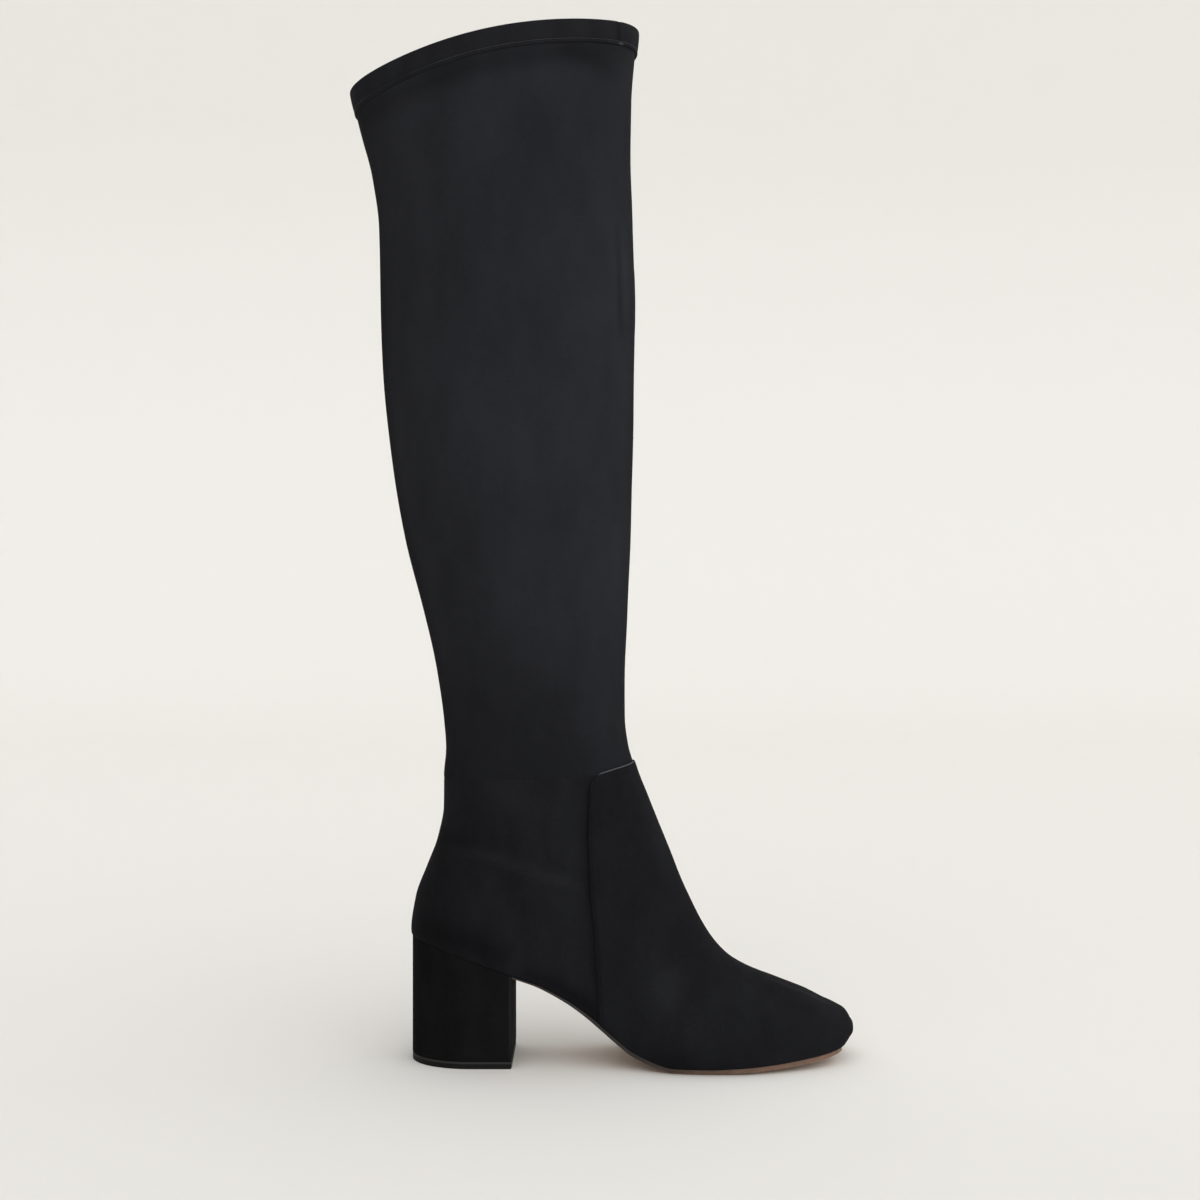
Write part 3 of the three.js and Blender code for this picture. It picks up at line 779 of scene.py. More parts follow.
@dataclass(frozen=True)
class FauxSuede(Look):
    """Microfibre suede: a brushed polyester nap, matt, with soft lighter and darker strokes.

    Args:
        dark: Colour where the nap lies flat.
        light: Colour where it is brushed up.
        stroke: Size of a brushed patch in millimetres.
        fade: Heights in millimetres between which painted shade darkens the colour towards the lower one, and
            how dark it is at the first.
    """

    dark: str
    light: str
    stroke: float = 34
    fade: tuple[float, float, float] | None = None

    def make(self) -> Material:
        """Build the material and return it."""
        made, tree, place = self._start()
        # The nap is brushed down the boot, so its patches are taller than they are wide.
        brushed = add_node(tree, "ShaderNodeMapping", {"Vector": place, "Scale": (1, 1, 0.45)})
        noise = {"Vector": brushed, "Scale": 1 / (self.stroke * MM), "Detail": 3.0, "Roughness": 0.55}
        strokes = add_node(tree, "ShaderNodeTexNoise", noise)
        # Real microfibre is finer than a tenth of a millimetre: its grain is drawn coarser, so that it shows.
        fibre = 0.75 * MM
        noise = {"Vector": brushed, "Scale": 1 / fibre, "Detail": 2.0, "Roughness": 0.6}
        grain = add_node(tree, "ShaderNodeTexNoise", noise)
        spread = {"Value": grain, "From Min": 0.3, "From Max": 0.7, "To Min": -0.16, "To Max": 0.16}
        speck = add_node(tree, "ShaderNodeMapRange", spread)
        patch = add_node(tree, "ShaderNodeMapRange", {"Value": strokes, "From Min": 0.3, "From Max": 0.7})
        mixed = add_node(tree, "ShaderNodeMath", {0: patch, 1: speck}, operation="ADD", use_clamp=True)
        ends = {0: mixed, 6: linear(self.dark), 7: linear(self.light)}
        # The nap attribute's painted light and shade scale the colour.
        colour = self._painted_light(tree, add_node(tree, "ShaderNodeMix", ends, 2, data_type="RGBA"))
        # Painted shade: the colour grows darker towards the bottom, where less light falls.
        if self.fade:
            low, high, least = self.fade
            height = add_node(tree, "ShaderNodeSeparateXYZ", {0: place}, 2)
            span = {"Value": height, "From Min": low * MM, "From Max": high * MM, "To Min": least}
            flat = add_node(tree, "ShaderNodeMapRange", span, interpolation_type="SMOOTHSTEP")
            colour = add_node(tree, "ShaderNodeVectorMath", {0: colour, "Scale": flat}, operation="SCALE")
        fine = add_node(tree, "ShaderNodeBump", {"Height": grain, "Strength": 0.5, "Distance": 0.35 * fibre})
        slow = {"Height": strokes, "Strength": 0.25, "Distance": 0.5 * MM, "Normal": fine}
        relief = add_node(tree, "ShaderNodeBump", slow)
        return self._end(made, colour, relief, {"Roughness": 0.95, "Specular IOR Level": 0.04})


@dataclass(frozen=True)
class Knit(Look):
    """Warp-knit polyester tricot, used as lining and sock: fine wales, slightly lustrous.

    Args:
        colour: Colour of the yarn.
        pitch: Distance between wales in millimetres, drawn coarser than real so that it shows.
    """

    colour: str
    pitch: float = 1.1

    def make(self) -> Material:
        """Build the material and return it."""
        made, tree, place = self._start()
        cells = {"Vector": place, "Scale": 1 / (self.pitch * MM)}
        wales = add_node(tree, "ShaderNodeTexVoronoi", cells, feature="SMOOTH_F1")
        span = {"Value": wales, "From Max": 0.8, "To Min": 1.0, "To Max": 0.6}
        tone = add_node(tree, "ShaderNodeMapRange", span)
        yarn = linear(self.colour)
        ends = {0: tone, 6: tuple(c * 0.5 for c in yarn[:3]) + (1,), 7: yarn}
        colour = add_node(tree, "ShaderNodeMix", ends, 2, data_type="RGBA")
        relief = {"Height": wales, "Strength": 0.4, "Distance": 0.15 * MM}
        return self._end(made, colour, add_node(tree, "ShaderNodeBump", relief), {"Roughness": 0.7})


@dataclass(frozen=True)
class SoleUnit(Look):
    """Resin outsole with an edge stained tan under the forefoot and inked black along the waist.

    Args:
        tan: Colour of the bare edge.
        deep: Colour of the stain in its pores.
        ink_from: Place on X where the ink is gone, in millimetres.
        ink_to: Place on X where the ink is full, in millimetres.
    """

    tan: str
    deep: str
    ink_from: float
    ink_to: float

    def make(self) -> Material:
        """Build the material and return it."""
        made, tree, place = self._start()
        # The edge is trimmed along its length, so the grain of about 1 mm is drawn out in level streaks.
        layers = add_node(tree, "ShaderNodeMapping", {"Vector": place, "Scale": (0.25, 0.25, 3.0)})
        noise = {"Vector": layers, "Scale": 900.0, "Detail": 4.0, "Roughness": 0.6}
        grain = add_node(tree, "ShaderNodeTexNoise", noise)
        noise = {"Vector": place, "Scale": 60.0, "Detail": 3.0, "Roughness": 0.55}
        blotch = add_node(tree, "ShaderNodeTexNoise", noise)
        both = add_node(tree, "ShaderNodeMath", {0: grain, 1: blotch}, operation="MULTIPLY")
        tone = add_node(tree, "ShaderNodeMapRange", {"Value": both, "From Min": 0.15, "From Max": 0.38})
        ends = {0: tone, 6: linear(self.deep), 7: linear(self.tan)}
        stained = add_node(tree, "ShaderNodeMix", ends, 2, data_type="RGBA")
        along = add_node(tree, "ShaderNodeSeparateXYZ", {0: place})
        span = {"Value": along, "From Min": self.ink_to * MM, "From Max": self.ink_from * MM}
        inked = add_node(tree, "ShaderNodeMapRange", span, interpolation_type="SMOOTHSTEP")
        ends = {0: inked, 6: linear("#161514"), 7: stained}
        colour = add_node(tree, "ShaderNodeMix", ends, 2, data_type="RGBA")
        relief = add_node(tree, "ShaderNodeBump", {"Height": grain, "Strength": 0.25, "Distance": 0.15 * MM})
        gloss = {"Roughness": 0.5, "Coat Weight": 0.1, "Coat Roughness": 0.35}
        return self._end(made, colour, relief, gloss)


@dataclass(frozen=True)
class Moulded(Look):
    """Moulded polyurethane rubber or spun thread: an even colour with a fine pebble.

    Args:
        colour: Main colour.
        worn: Colour where it is rubbed.
        grain: Size of the pebble in millimetres.
        roughness: Roughness of the surface.
        gloss: How strongly it mirrors.
        lip: Paler colour over the top lift's upper half, a painted highlight on its rim.
        takes_painted_light: Whether the painted light and shade of the nap attribute make it lighter or
            darker.
    """

    colour: str
    worn: str
    grain: float
    roughness: float
    gloss: float
    lip: str | None = None
    takes_painted_light: bool = False

    def make(self) -> Material:
        """Build the material and return it."""
        made, tree, place = self._start()
        noise = {"Vector": place, "Scale": 1 / (self.grain * MM), "Detail": 2.0}
        pebble = add_node(tree, "ShaderNodeTexNoise", noise)
        rub = add_node(tree, "ShaderNodeTexNoise", {"Vector": place, "Scale": 120.0, "Detail": 4.0})
        tone = add_node(tree, "ShaderNodeMapRange", {"Value": rub, "From Min": 0.42, "From Max": 0.75})
        ends = {0: tone, 6: linear(self.colour), 7: linear(self.worn)}
        colour = add_node(tree, "ShaderNodeMix", ends, 2, data_type="RGBA")
        # Painted highlight: the lift's upper rim is coloured paler.
        if self.lip:
            height = add_node(tree, "ShaderNodeSeparateXYZ", {0: place}, 2)
            span = {"Value": height, "From Min": 2.7 * MM, "From Max": 3.0 * MM}
            ends = {0: add_node(tree, "ShaderNodeMapRange", span), 6: colour, 7: linear(self.lip)}
            colour = add_node(tree, "ShaderNodeMix", ends, 2, data_type="RGBA")
        # Painted light and shade from the nap attribute.
        if self.takes_painted_light:
            colour = self._painted_light(tree, colour)
        relief = add_node(tree, "ShaderNodeBump", {"Height": pebble, "Strength": 0.3, "Distance": 0.1 * MM})
        numbers = {"Roughness": self.roughness, "Specular IOR Level": self.gloss}
        return self._end(made, colour, relief, numbers)


class Palette:
    """Every material of the boot."""

    def __init__(self) -> None:
        """Make the materials once."""
        # Microfibre suede on a woven back, brushed after it is glued over the last: near black and dead matt.
        self.foot_suede = FauxSuede("faux suede, lasted foot", "#161618", "#1e1f22").make()
        # The same suede on a stretch back: lighter where it is pulled wide, and painted shade darkens it
        # towards the ankle, where less light falls.
        leg = FauxSuede("stretch faux suede, leg", "#202124", "#292a2e", 48, (165, 290, 0.68))
        self.leg_suede = leg.make()
        # Suede pulled tight and glued round the heel: its nap is pressed flat, and its colour is darker still
        # as painted shade for the low light under the boot.
        self.heel_suede = FauxSuede("faux suede, heel cover", "#0f0f10", "#161617", 20).make()
        # The stretch suede folded double, with small patches of nap turned by the sewing.
        self.band_suede = FauxSuede("stretch faux suede, band", "#1c1c1f", "#232427", 20).make()
        # A cut edge shows the paler backing fibres.
        self.cut_edge = FauxSuede("cut edge of faux suede", "#1a1a1b", "#232323", 3).make()
        # Tricot knit: a dark, faintly lustrous inside.
        self.lining = Knit("tricot lining", "#2a2a2c").make()
        self.sock = Knit("sock of the insole", "#3a3532", 0.9).make()
        # Cast resin, its edge stained and lightly waxed: warm tan with a soft gloss, inked at the waist.
        self.sole = SoleUnit("resin outsole, tan edge", "#80604c", "#5d4434", 165, 88).make()
        self.underside = SoleUnit("resin outsole, underside", "#b08a68", "#96704f", -60, -70).make()
        # Polyurethane rubber, moulded: black and satin, with a painted highlight along its upper lip.
        lift = Moulded("top lift rubber", "#0f0f0f", "#141313", 0.4, 0.6, 0.15, lip="#2f2e2d")
        self.lift = lift.make()
        # Spun polyester thread: matt and black on the vamp, and trilobal with a little gloss on the band,
        # where its paler colour paints the highlight along the band's lower edge.
        self.thread = Moulded("polyester thread", "#131314", "#1a1a1c", 0.25, 0.9, 0.1).make()
        band = Moulded("bright polyester thread", "#323338", "#3d3e44", 0.25, 0.6, 0.25, takes_painted_light=True)
        self.band_thread_painted_highlight = band.make()


def paint_light_and_shade(piece: Piece, painted_strokes: Sequence[Stroke]) -> None:
    """Write the painted light and shade at every point as the nap attribute that the suede reads.

    Args:
        piece: The object.
        painted_strokes: Its strokes of painted light and shade.
    """
    mesh = piece.data
    points = np.empty(len(mesh.vertices) * 3)
    mesh.vertices.foreach_get("co", points)
    points = points.reshape(-1, 3) / MM
    shade = 1 + sum((rub.at(points) for rub in painted_strokes), np.zeros(len(points)))
    darkest, brightest = 0.2, 12
    layer = mesh.attributes.new("nap", "FLOAT", "POINT")
    layer.data.foreach_set("value", np.clip(shade, darkest, brightest).astype(np.float32))


def dress(piece: Piece, finish: Finish, materials: Sequence[Material], *nodes: str) -> None:
    """Give a piece its materials and body, and hide the nodes that it stands for.

    Args:
        piece: The object.
        finish: The record's slot; not used.
        materials: Materials by slot number.
        nodes: Nodes that the piece replaces.
    """
    for material in materials:
        piece.data.materials.append(material)
    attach(piece, "root")
    if nodes:
        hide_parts(*nodes)


# Sub-assemblies


@dataclass
class Leg:
    """Stretch leg with its lining and folded collar band."""

    last: Last
    cloth: Cloth
    palette: Palette
    rows: int = 300
    inner_rows: int = 70
    columns: int = 208
    band_columns: int = 520
    bead: float = 2.1
    proud: float = 0.8
    join_proud: float = 0.45
    join_x: float = 88.0

    def build(self) -> list[Piece]:
        """Make the leg and its band."""
        return [self._tube(), self._band()]

    def _ring(self, place: float, out: float | np.ndarray, columns: int, lift: float = 0.0) -> np.ndarray:
        """A ring of the form set out in its own plane, and up."""
        turn, m = np.arange(columns) / columns, self.last.measures
        across = np.array(
            [m["low_z"](place) - m["top_z"](place), 0.0, m["top_x"](place) - m["low_x"](place)]
        )
        across = across / np.linalg.norm(across)
        way = self.last.normal(place, turn)
        way = way - (way @ across)[:, None] * across
        way = way / np.linalg.norm(way, axis=1, keepdims=True)
        out = np.broadcast_to(out, turn.shape)[:, None]
        return self.last.point(place, turn) + way * out + np.array([0, 0, lift])

    def _tube(self) -> Piece:
        """The leg's wall, from the ankle seam to the collar."""
        last, s = self.last, self.last.sizes
        turn = np.arange(self.columns) / self.columns
        close, close_rows = 9, 23
        near_seam = last.seam + np.linspace(0, close, close_rows + 1)[:-1]
        rest = np.linspace(last.seam + close, last.top, self.rows - close_rows)
        place = np.concatenate([near_seam, rest])[:, None] + 0 * turn
        bare = last.point(place, turn)
        outside = bare + last.normal(place, turn) * self.cloth.leg(bare, place)[..., None]
        place = np.linspace(last.top, last.seam, self.inner_rows)[:, None] + 0 * turn
        bare = last.point(place, turn)
        fold = self.cloth.leg(bare, place) * np.clip((place - last.seam) / 6, 0, 1)
        inside = bare + last.normal(place, turn) * (fold - s.wall)[..., None]
        inside[0] = self._ring(last.top, -s.wall, self.columns)
        inside[-1] = self._ring(last.seam, -s.wall, self.columns, s.gap / 2)
        points = np.concatenate([outside.reshape(-1, 3), inside.reshape(-1, 3)])
        faces = ring_faces(self.rows + self.inner_rows, self.columns)
        lined = (self.rows - 1) * self.columns
        slots = [0 if i < lined else 1 for i in range(len(faces))]
        piece = mesh_object("shaft_stretch_leg", points, faces, slots)
        sharpen(piece, 60)
        # Painted light and shade on the leg: the crease, the pale front, and shade under the band and down
        # the front and back lines.
        paint_light_and_shade(piece, (*LEG_PAINTED_LIGHT, self._hem_shade(), *self._line_shade()))
        dress(piece, Finish.STRETCH, [self.palette.leg_suede, self.palette.lining], "shaft")
        return piece

    def _hem_shade(self) -> Stroke:
        """A soft painted shade under the band."""
        turn, below = np.linspace(0.02, 0.48, 9), 5.0
        line = side_line(self.last.point(self._below_top(self._drop() + below, turn), turn))
        return Stroke(line, amount=-0.3, width=16)

    def _line_shade(self) -> tuple[Stroke, Stroke]:
        """Painted shade along the leg's front and back lines, where its sides turn away from the light."""
        under, over, count = 30, 20, 16
        places = np.linspace(self.last.seam - under, self.last.top + over, count)
        front, back = (side_line(self.last.point(places, turn)) for turn in (0, 0.5))
        return Stroke(front, amount=-0.3, width=7), Stroke(back, amount=-0.5, width=11)

    def _drop(self) -> float:
        """Distance from the leg's top edge down to the band's lower edge."""
        s = self.last.sizes
        return s.band_height - s.gap - s.band

    def _below_top(self, drop: float, turn: np.ndarray) -> np.ndarray:
        """Places that lie an even distance below the top edge."""
        top, step = self.last.top, 6.0
        moved = self.last.point(top, turn) - self.last.point(top - step, turn)
        return top - drop * step / np.linalg.norm(moved, axis=-1)

    def _proud(self, turn: np.ndarray) -> np.ndarray:
        """How far the band stands out, a little more at the front where its ends are joined."""
        return self.proud + self.join_proud * (0.5 + 0.5 * np.cos(2 * np.pi * turn)) ** 2

    def band_stitch_path(self) -> np.ndarray:
        """Line of the stitches round the collar band, in millimetres."""
        turn, sunk = np.linspace(0, 1, 500), 0.12
        place = self._below_top(self._drop() - self.bead, turn)
        out = self._proud(turn) - sunk
        return self.last.point(place, turn) + self.last.normal(place, turn) * out[:, None]

    def _join(self, turn: np.ndarray) -> np.ndarray:
        """A short butt join of the band's ends on the outer side, near the front."""
        points, far, swelling, cleft = self.last.point(self.last.top, turn), 100.0, 11, 2.0
        near = np.where(points[:, 1] < 0, points[:, 0] - self.join_x, far)
        return 0.2 * falloff(near, swelling) - 0.5 * falloff(near, cleft)

    def _band(self) -> Piece:
        """The band: a strip folded over the top edge, with a rolled lower edge above a row of stitches."""
        last, s = self.last, self.last.sizes
        turn = np.arange(self.band_columns) / self.band_columns
        drop, rings = self._drop(), []

        def below(down: float, out: np.ndarray) -> None:
            """Add a ring below the top edge, set out from the leg."""
            place = self._below_top(max(down, 0.001), turn)
            rings.append(last.point(place, turn) + last.normal(place, turn) * out[:, None])

        def over(out: np.ndarray, lift: float) -> None:
            """Add a ring over the top edge."""
            rings.append(self._ring(last.top, out, self.band_columns, lift))

        skin = self._proud(turn) + self._join(turn)
        # From below: a rolled edge, the dip of the stitches, and a slight puff up to the top.
        roll_at, roll_width, dip_width = 0.85, 1.5, 1.0
        for up in np.concatenate([np.linspace(0, 3.4, 18), np.linspace(3.9, drop, 12)]):
            roll = 0.16 * falloff(up - roll_at, roll_width) - 0.3 * falloff(up - self.bead, dip_width)
            puff = 0.18 * math.sin(math.pi * min(1, max(0, (up - self.bead) / (drop - self.bead))))
            below(drop - up, skin + roll - 0.75 * np.exp(-(up / 0.3)) + puff)
        inner, rest, flat = -s.wall - s.gap - s.band, 0.05, 0 * turn
        # Then over the leg's edge, down its inside, and back between the two layers.
        for angle in np.linspace(0, math.pi, 13)[1:-1]:
            half, centre = (skin - inner) / 2, (skin + inner) / 2
            over(centre + half * math.cos(angle), (s.gap + s.band) * math.sin(angle) ** 0.8)
        for down, out in ((0, inner), (drop / 2, inner), (drop, inner), (drop, -s.wall - rest)):
            below(down, flat + out)
        below(0, flat - s.wall - rest)
        over(flat - s.wall - rest, rest)
        over(flat + rest, rest)
        below(drop / 2, flat + rest)
        below(drop, flat + rest)
        faces = ring_faces(len(rings), self.band_columns)
        piece = mesh_object("collar_band_folded", np.concatenate(rings), faces)
        sharpen(piece, 60)
        # Painted shade in the band's join, and a small painted highlight on it.
        paint_light_and_shade(piece, BAND_PAINTED_LIGHT)
        dress(piece, Finish.STRETCH, [self.palette.band_suede], "collar_band")
        return piece


@dataclass
class Foot:
    """Lasted foot: the quarters with their counter, and the vamp over toe and instep."""

    last: Last
    cloth: Cloth
    palette: Palette
    rows: int = 250
    columns: int = 150
    corner: float = 5.0
    stitch_inset: float = 1.9
    vamp_top: Curve = field(init=False)
    vamp_seam: Curve = field(init=False)

    def __post_init__(self) -> None:
        """Work out the vamp's cut edge seen from the side."""
        self.vamp_top = Curve(*self._side_line(VAMP_TOP_ROWS))
        x, z = self._side_line(VAMP_SEAM_ROWS)
        self.vamp_seam = Curve(z[::-1], x[::-1])

    def _side_line(self, rows: Line) -> tuple[list[float], list[float]]:
        """X and Z of a line given as shares."""
        s = self.last.sizes
        x = [s.along(row[0]) for row in rows]
        return x, [float(self.last.bed(at)) + row[1] * s.instep_height for at, row in zip(x, rows)]

    def _in_vamp(self, points: np.ndarray) -> np.ndarray:
        """A positive number for points within the vamp's cut edge."""
        x, z, corner = points[..., 0], points[..., 2], self.corner
        ahead, under = x - self.vamp_seam(z), self.vamp_top(x) - z
        rounded = corner - np.hypot(np.clip(corner - ahead, 0, None), np.clip(corner - under, 0, None))
        inner = np.where((ahead > corner) | (under > corner), np.minimum(ahead, under), rounded)
        return np.minimum(self.last.over_bed(points), inner)

    def build(self) -> list[Piece]:
        """Make the upper and the vamp."""
        return [self._upper(), self._vamp()]

    def _upper(self) -> Piece:
        """The hollow foot part, with its lining."""
        palette, foot = self.palette, self.cloth.foot
        skin = TrimmedSkin(self.last, self.last.over_bed, self.last.seam - 0.02, self.rows, self.columns)
        inside = skin.skin(-self.last.sizes.wall, lambda points, place: 0.5 * foot(points, place))
        piece = skin.shell("upper_quarters", skin.skin(0, foot), inside, 60)
        # Painted light and shade on the quarters, and painted shade beside the lapped seam.
        paint_light_and_shade(piece, (*FOOT_PAINTED_LIGHT, self._seam_shade(-1.4)))
        dress(piece, Finish.SUEDE, [palette.foot_suede, palette.lining, palette.foot_suede], "upper")
        return piece

    def _vamp_end(self) -> float:
        """Place where the vamp's top edge meets the front line."""
        places = np.linspace(self.last.seam - 5, self.last.seam + 30, 2000)
        return float(places[self._in_vamp(self.last.point(places, 0)) > 0][-1])

    def _vamp(self) -> Piece:
        """The outer panel with its cut edge."""
        s, palette, rounding = self.last.sizes, self.palette, 0.18
        skin = TrimmedSkin(self.last, self._in_vamp, self._vamp_end(), self.rows, self.columns)

        def relief(points: np.ndarray, place: np.ndarray) -> np.ndarray:
            """Folds of the foot, with the cut edge a little softened."""
            edge = np.clip(self._in_vamp(points), 0, None)
            return self.cloth.vamp(points, place) - rounding * np.exp(-edge / 0.35)

        out = s.gap + s.vamp
        piece = skin.shell("vamp_panel", skin.skin(out, relief), skin.skin(s.gap, self.cloth.vamp), 50)
        # Painted highlights along the toe's two ridges and the top edge, and painted light and shade over the
        # rest of the vamp.
        ridges = [Stroke(line, amount=0.95, width=3.0) for line in self.cloth.toe_ridges(out)]
        paint_light_and_shade(piece, (*VAMP_PAINTED_LIGHT, *ridges, self._seam_shade(0.8), self._edge_highlight()))
        dress(piece, Finish.SUEDE, [palette.foot_suede, palette.lining, palette.cut_edge], "vamp")
        return piece

    def _seam_shade(self, ahead: float) -> Stroke:
        """Painted shade along the lapped side seam, some way in front of the cut edge."""
        heights = (158, 140, 120, 100, 80, 60, 40, 30)
        line = tuple((float(self.vamp_seam(z)) + ahead, z) for z in heights)
        return Stroke(line, amount=-0.22, width=4.0)

    def _edge_highlight(self) -> Stroke:
        """A painted highlight along the vamp's top edge."""
        places = [self.last.sizes.along(share) for share in (0.417, 0.43, 0.46, 0.49, 0.51)]
        return Stroke(tuple((x, float(self.vamp_top(x))) for x in places), amount=10.5, width=0.9)

    def vamp_stitch_path(self, side: Side) -> np.ndarray:
        """Line of the stitches inside the vamp's cut edge on one side.

        Args:
            side: The side of the foot.

        Returns:
            Points in millimetres, from the feather line up to the front line.
        """
        last, s, inset = self.last, self.last.sizes, self.stitch_inset
        places = np.linspace(last.stations[8], self._vamp_end() - 0.35 * inset, 1600)
        turns = last.edge_turn(places, side, lambda points: self._in_vamp(points) - inset)
        points = last.point(places, turns * side.value)
        on_seam = (last.over_bed(points) > inset + 0.5) & (turns > 0.001)
        places, turns, points = places[on_seam], turns[on_seam], points[on_seam]
        out = s.gap + s.vamp + self.cloth.vamp(points, places) + 0.02
        return points + last.normal(places, turns * side.value) * out[:, None]


@dataclass
class Sole:
    """Outsole, insole, wrapped heel and top lift."""

    last: Last
    palette: Palette
    rows: int = 150
    columns: int = 41

    def build(self) -> list[Piece]:
        """Make the pieces under the foot."""
        return [self._outsole(), self._insole(), self._heel(), self._lift()]

    def _feather(self, side: Side, count: int) -> np.ndarray:
        """Plan of the feather line on one side, from the heel's breast to the toe."""
        last, s = self.last, self.last.sizes
        places = np.linspace(0.0, last.stations[14], 3000)
        turns = last.edge_turn(places, side, lambda points: points[..., 2] - last.bed(points[..., 0]))
        points = last.point(places, turns * side.value)
        points = points[(points[:, 0] > s.heel_breast + s.gap) & (turns < 0.4999)]
        return points[np.linspace(0, len(points) - 1, count).astype(int)][::-1]

    def _outsole(self) -> Piece:
        """A thin unit that follows the line under the boot, with softened edges."""
        last, s = self.last, self.last.sizes
        inset, crown, soft, rows, columns = 0.4, 1.2, 0.35, self.rows, self.columns
        outer, inner = self._feather(Side.OUTER, 260), self._feather(Side.INNER, 260)
        start = s.heel_breast + s.gap
        end = max(outer[:, 0].max(), inner[:, 0].max()) - inset
        xs = start + (end - start) * np.sin(np.linspace(0, np.pi / 2, rows))
        outer_y = (np.interp(xs, outer[:, 0], outer[:, 1]) + inset)[:, None]
        inner_y = (np.interp(xs, inner[:, 0], inner[:, 1]) - inset)[:, None]
        share = (1 - np.cos(np.linspace(0, np.pi, columns))) / 2
        ys = outer_y + (inner_y - outer_y) * share
        x_grid = np.broadcast_to(xs[:, None], ys.shape).copy()
        x_grid[-1] += crown * (1 - (2 * share - 1) ** 2)
        edge_gap = np.minimum(ys - outer_y, inner_y - ys)
        heights = (last.bed(x_grid), last.tread(x_grid) + soft * np.exp(-edge_gap / 0.4))
        skins = [np.stack([x_grid, ys, z], axis=-1).reshape(-1, 3) for z in heights]
        shift = rows * columns
        faces = grid_faces(rows, columns) + grid_faces(rows, columns, shift, flip=True)
        grid = np.arange(shift).reshape(rows, columns)
        border = np.concatenate([grid[:, 0], grid[-1, 1:], grid[-2::-1, -1], grid[0, -2:0:-1]]).tolist()
        faces += [[a, b, b + shift, a + shift] for a, b in zip(border, border[1:] + border[:1])]
        under = (rows - 1) * (columns - 1)
        slots = [1 if under <= i < 2 * under else 0 for i in range(len(faces))]
        piece = mesh_object("outsole_unit", np.concatenate(skins), faces, slots)
        close_up(piece, 35)
        dress(piece, Finish.SOLE, [self.palette.sole, self.palette.underside], "outsole")
        return piece

    def _insole(self) -> Piece:
        """The insole keeps its own solid and takes a knitted sock."""
        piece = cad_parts["insole"]
        piece.data.materials.clear()
        piece.data.materials.append(self.palette.sock)
        return piece

    def _heel_plan(self, inset: float, corner: float) -> np.ndarray:
        """Plan of the heel: rounded back, straight sides and a breast with small corners."""
        s = self.last.sizes
        half, breast = s.heel_width / 2 - inset, s.heel_breast - inset
        middle = s.heel_round - s.heel_breast
        angles = np.linspace(np.pi / 2, 3 * np.pi / 2, 64)
        back = np.stack([middle + (s.heel_round - inset) * np.cos(angles), half * np.sin(angles)], axis=-1)
        sides = np.linspace(middle, breast - corner, 14)[1:-1]
        corners = []
        for sign, start in ((-1, -np.pi / 2), (1, 0.0)):
            turn = np.linspace(start, start + np.pi / 2, 7)
            centre = np.array([breast - corner, sign * (half - corner)])
            corners.append(centre + corner * np.stack([np.cos(turn), np.sin(turn)], axis=-1))
        near = np.stack([sides, -half + 0 * sides], axis=-1)
        far = np.stack([sides[::-1], half + 0 * sides], axis=-1)
        return np.concatenate([back, near, *corners, far])

    def _block(self, name: str, plan: Callable, low: float, top: Callable, rows: int, soft: float) -> Piece:
        """A block between a level bottom and a top line, with a softened rim.

        Args:
            name: Name of the piece.
            plan: Gives the outline for a draw-in at the rims.
            low: Height of the bottom.
            top: Height of the top at places on X.
            rows: Rows of points up the side.
            soft: Radius of the rims.

        Returns:
            The object.
        """
        rims = [(soft * (1 - math.sin(a)), soft * (1 - math.cos(a))) for a in np.linspace(0, np.pi / 2, 5)]
        rings = [np.insert(plan(inset), 2, low + up, axis=1) for inset, up in rims]
        ring = plan(0.0)
        for share in np.linspace(0, 1, rows)[1:-1]:
            heights = (low + soft) * (1 - share) + (top(ring[:, 0]) - soft) * share
            rings.append(np.column_stack([ring, heights]))
        for inset, down in rims[::-1]:
            ring = plan(inset)
            rings.append(np.column_stack([ring, top(ring[:, 0]) - down]))
        # The lid closes on the middle line.
        rings.append(np.column_stack([ring[:, 0], 0 * ring[:, 1], top(ring[:, 0])]))
        columns = len(ring)
        faces = grid_faces(len(rings), columns, close=True, flip=True)
        faces.append(list(range(columns))[::-1])
        piece = mesh_object(name, np.concatenate(rings), faces)
        close_up(piece, 35)
        return piece

    def _heel(self) -> Piece:
        """The wrapped block under the heel."""
        low, above = self.last.sizes.lift + 0.02, 0.22
        plan, top = (lambda inset: self._heel_plan(inset, 1.6)), (lambda x: self.last.bed(x) + above)
        piece = self._block("heel_wrapped_block", plan, low, top, 40, 0.45)
        # A painted highlight on the breast's corner, and a lighter lower edge.
        paint_light_and_shade(piece, HEEL_PAINTED_HIGHLIGHT_AND_TONE)
        dress(piece, Finish.SUEDE, [self.palette.heel_suede], "heel")
        return piece

    def _lift(self) -> Piece:
        """The thin tip that stands on the floor."""
        high = self.last.sizes.lift
        plan, top = (lambda inset: self._heel_plan(inset + 0.1, 1.4)), (lambda x: high + 0 * x)
        piece = self._block("heel_top_lift", plan, 0.0, top, 6, 0.4)
        dress(piece, Finish.LIFT, [self.palette.lift], "top_lift")
        return piece


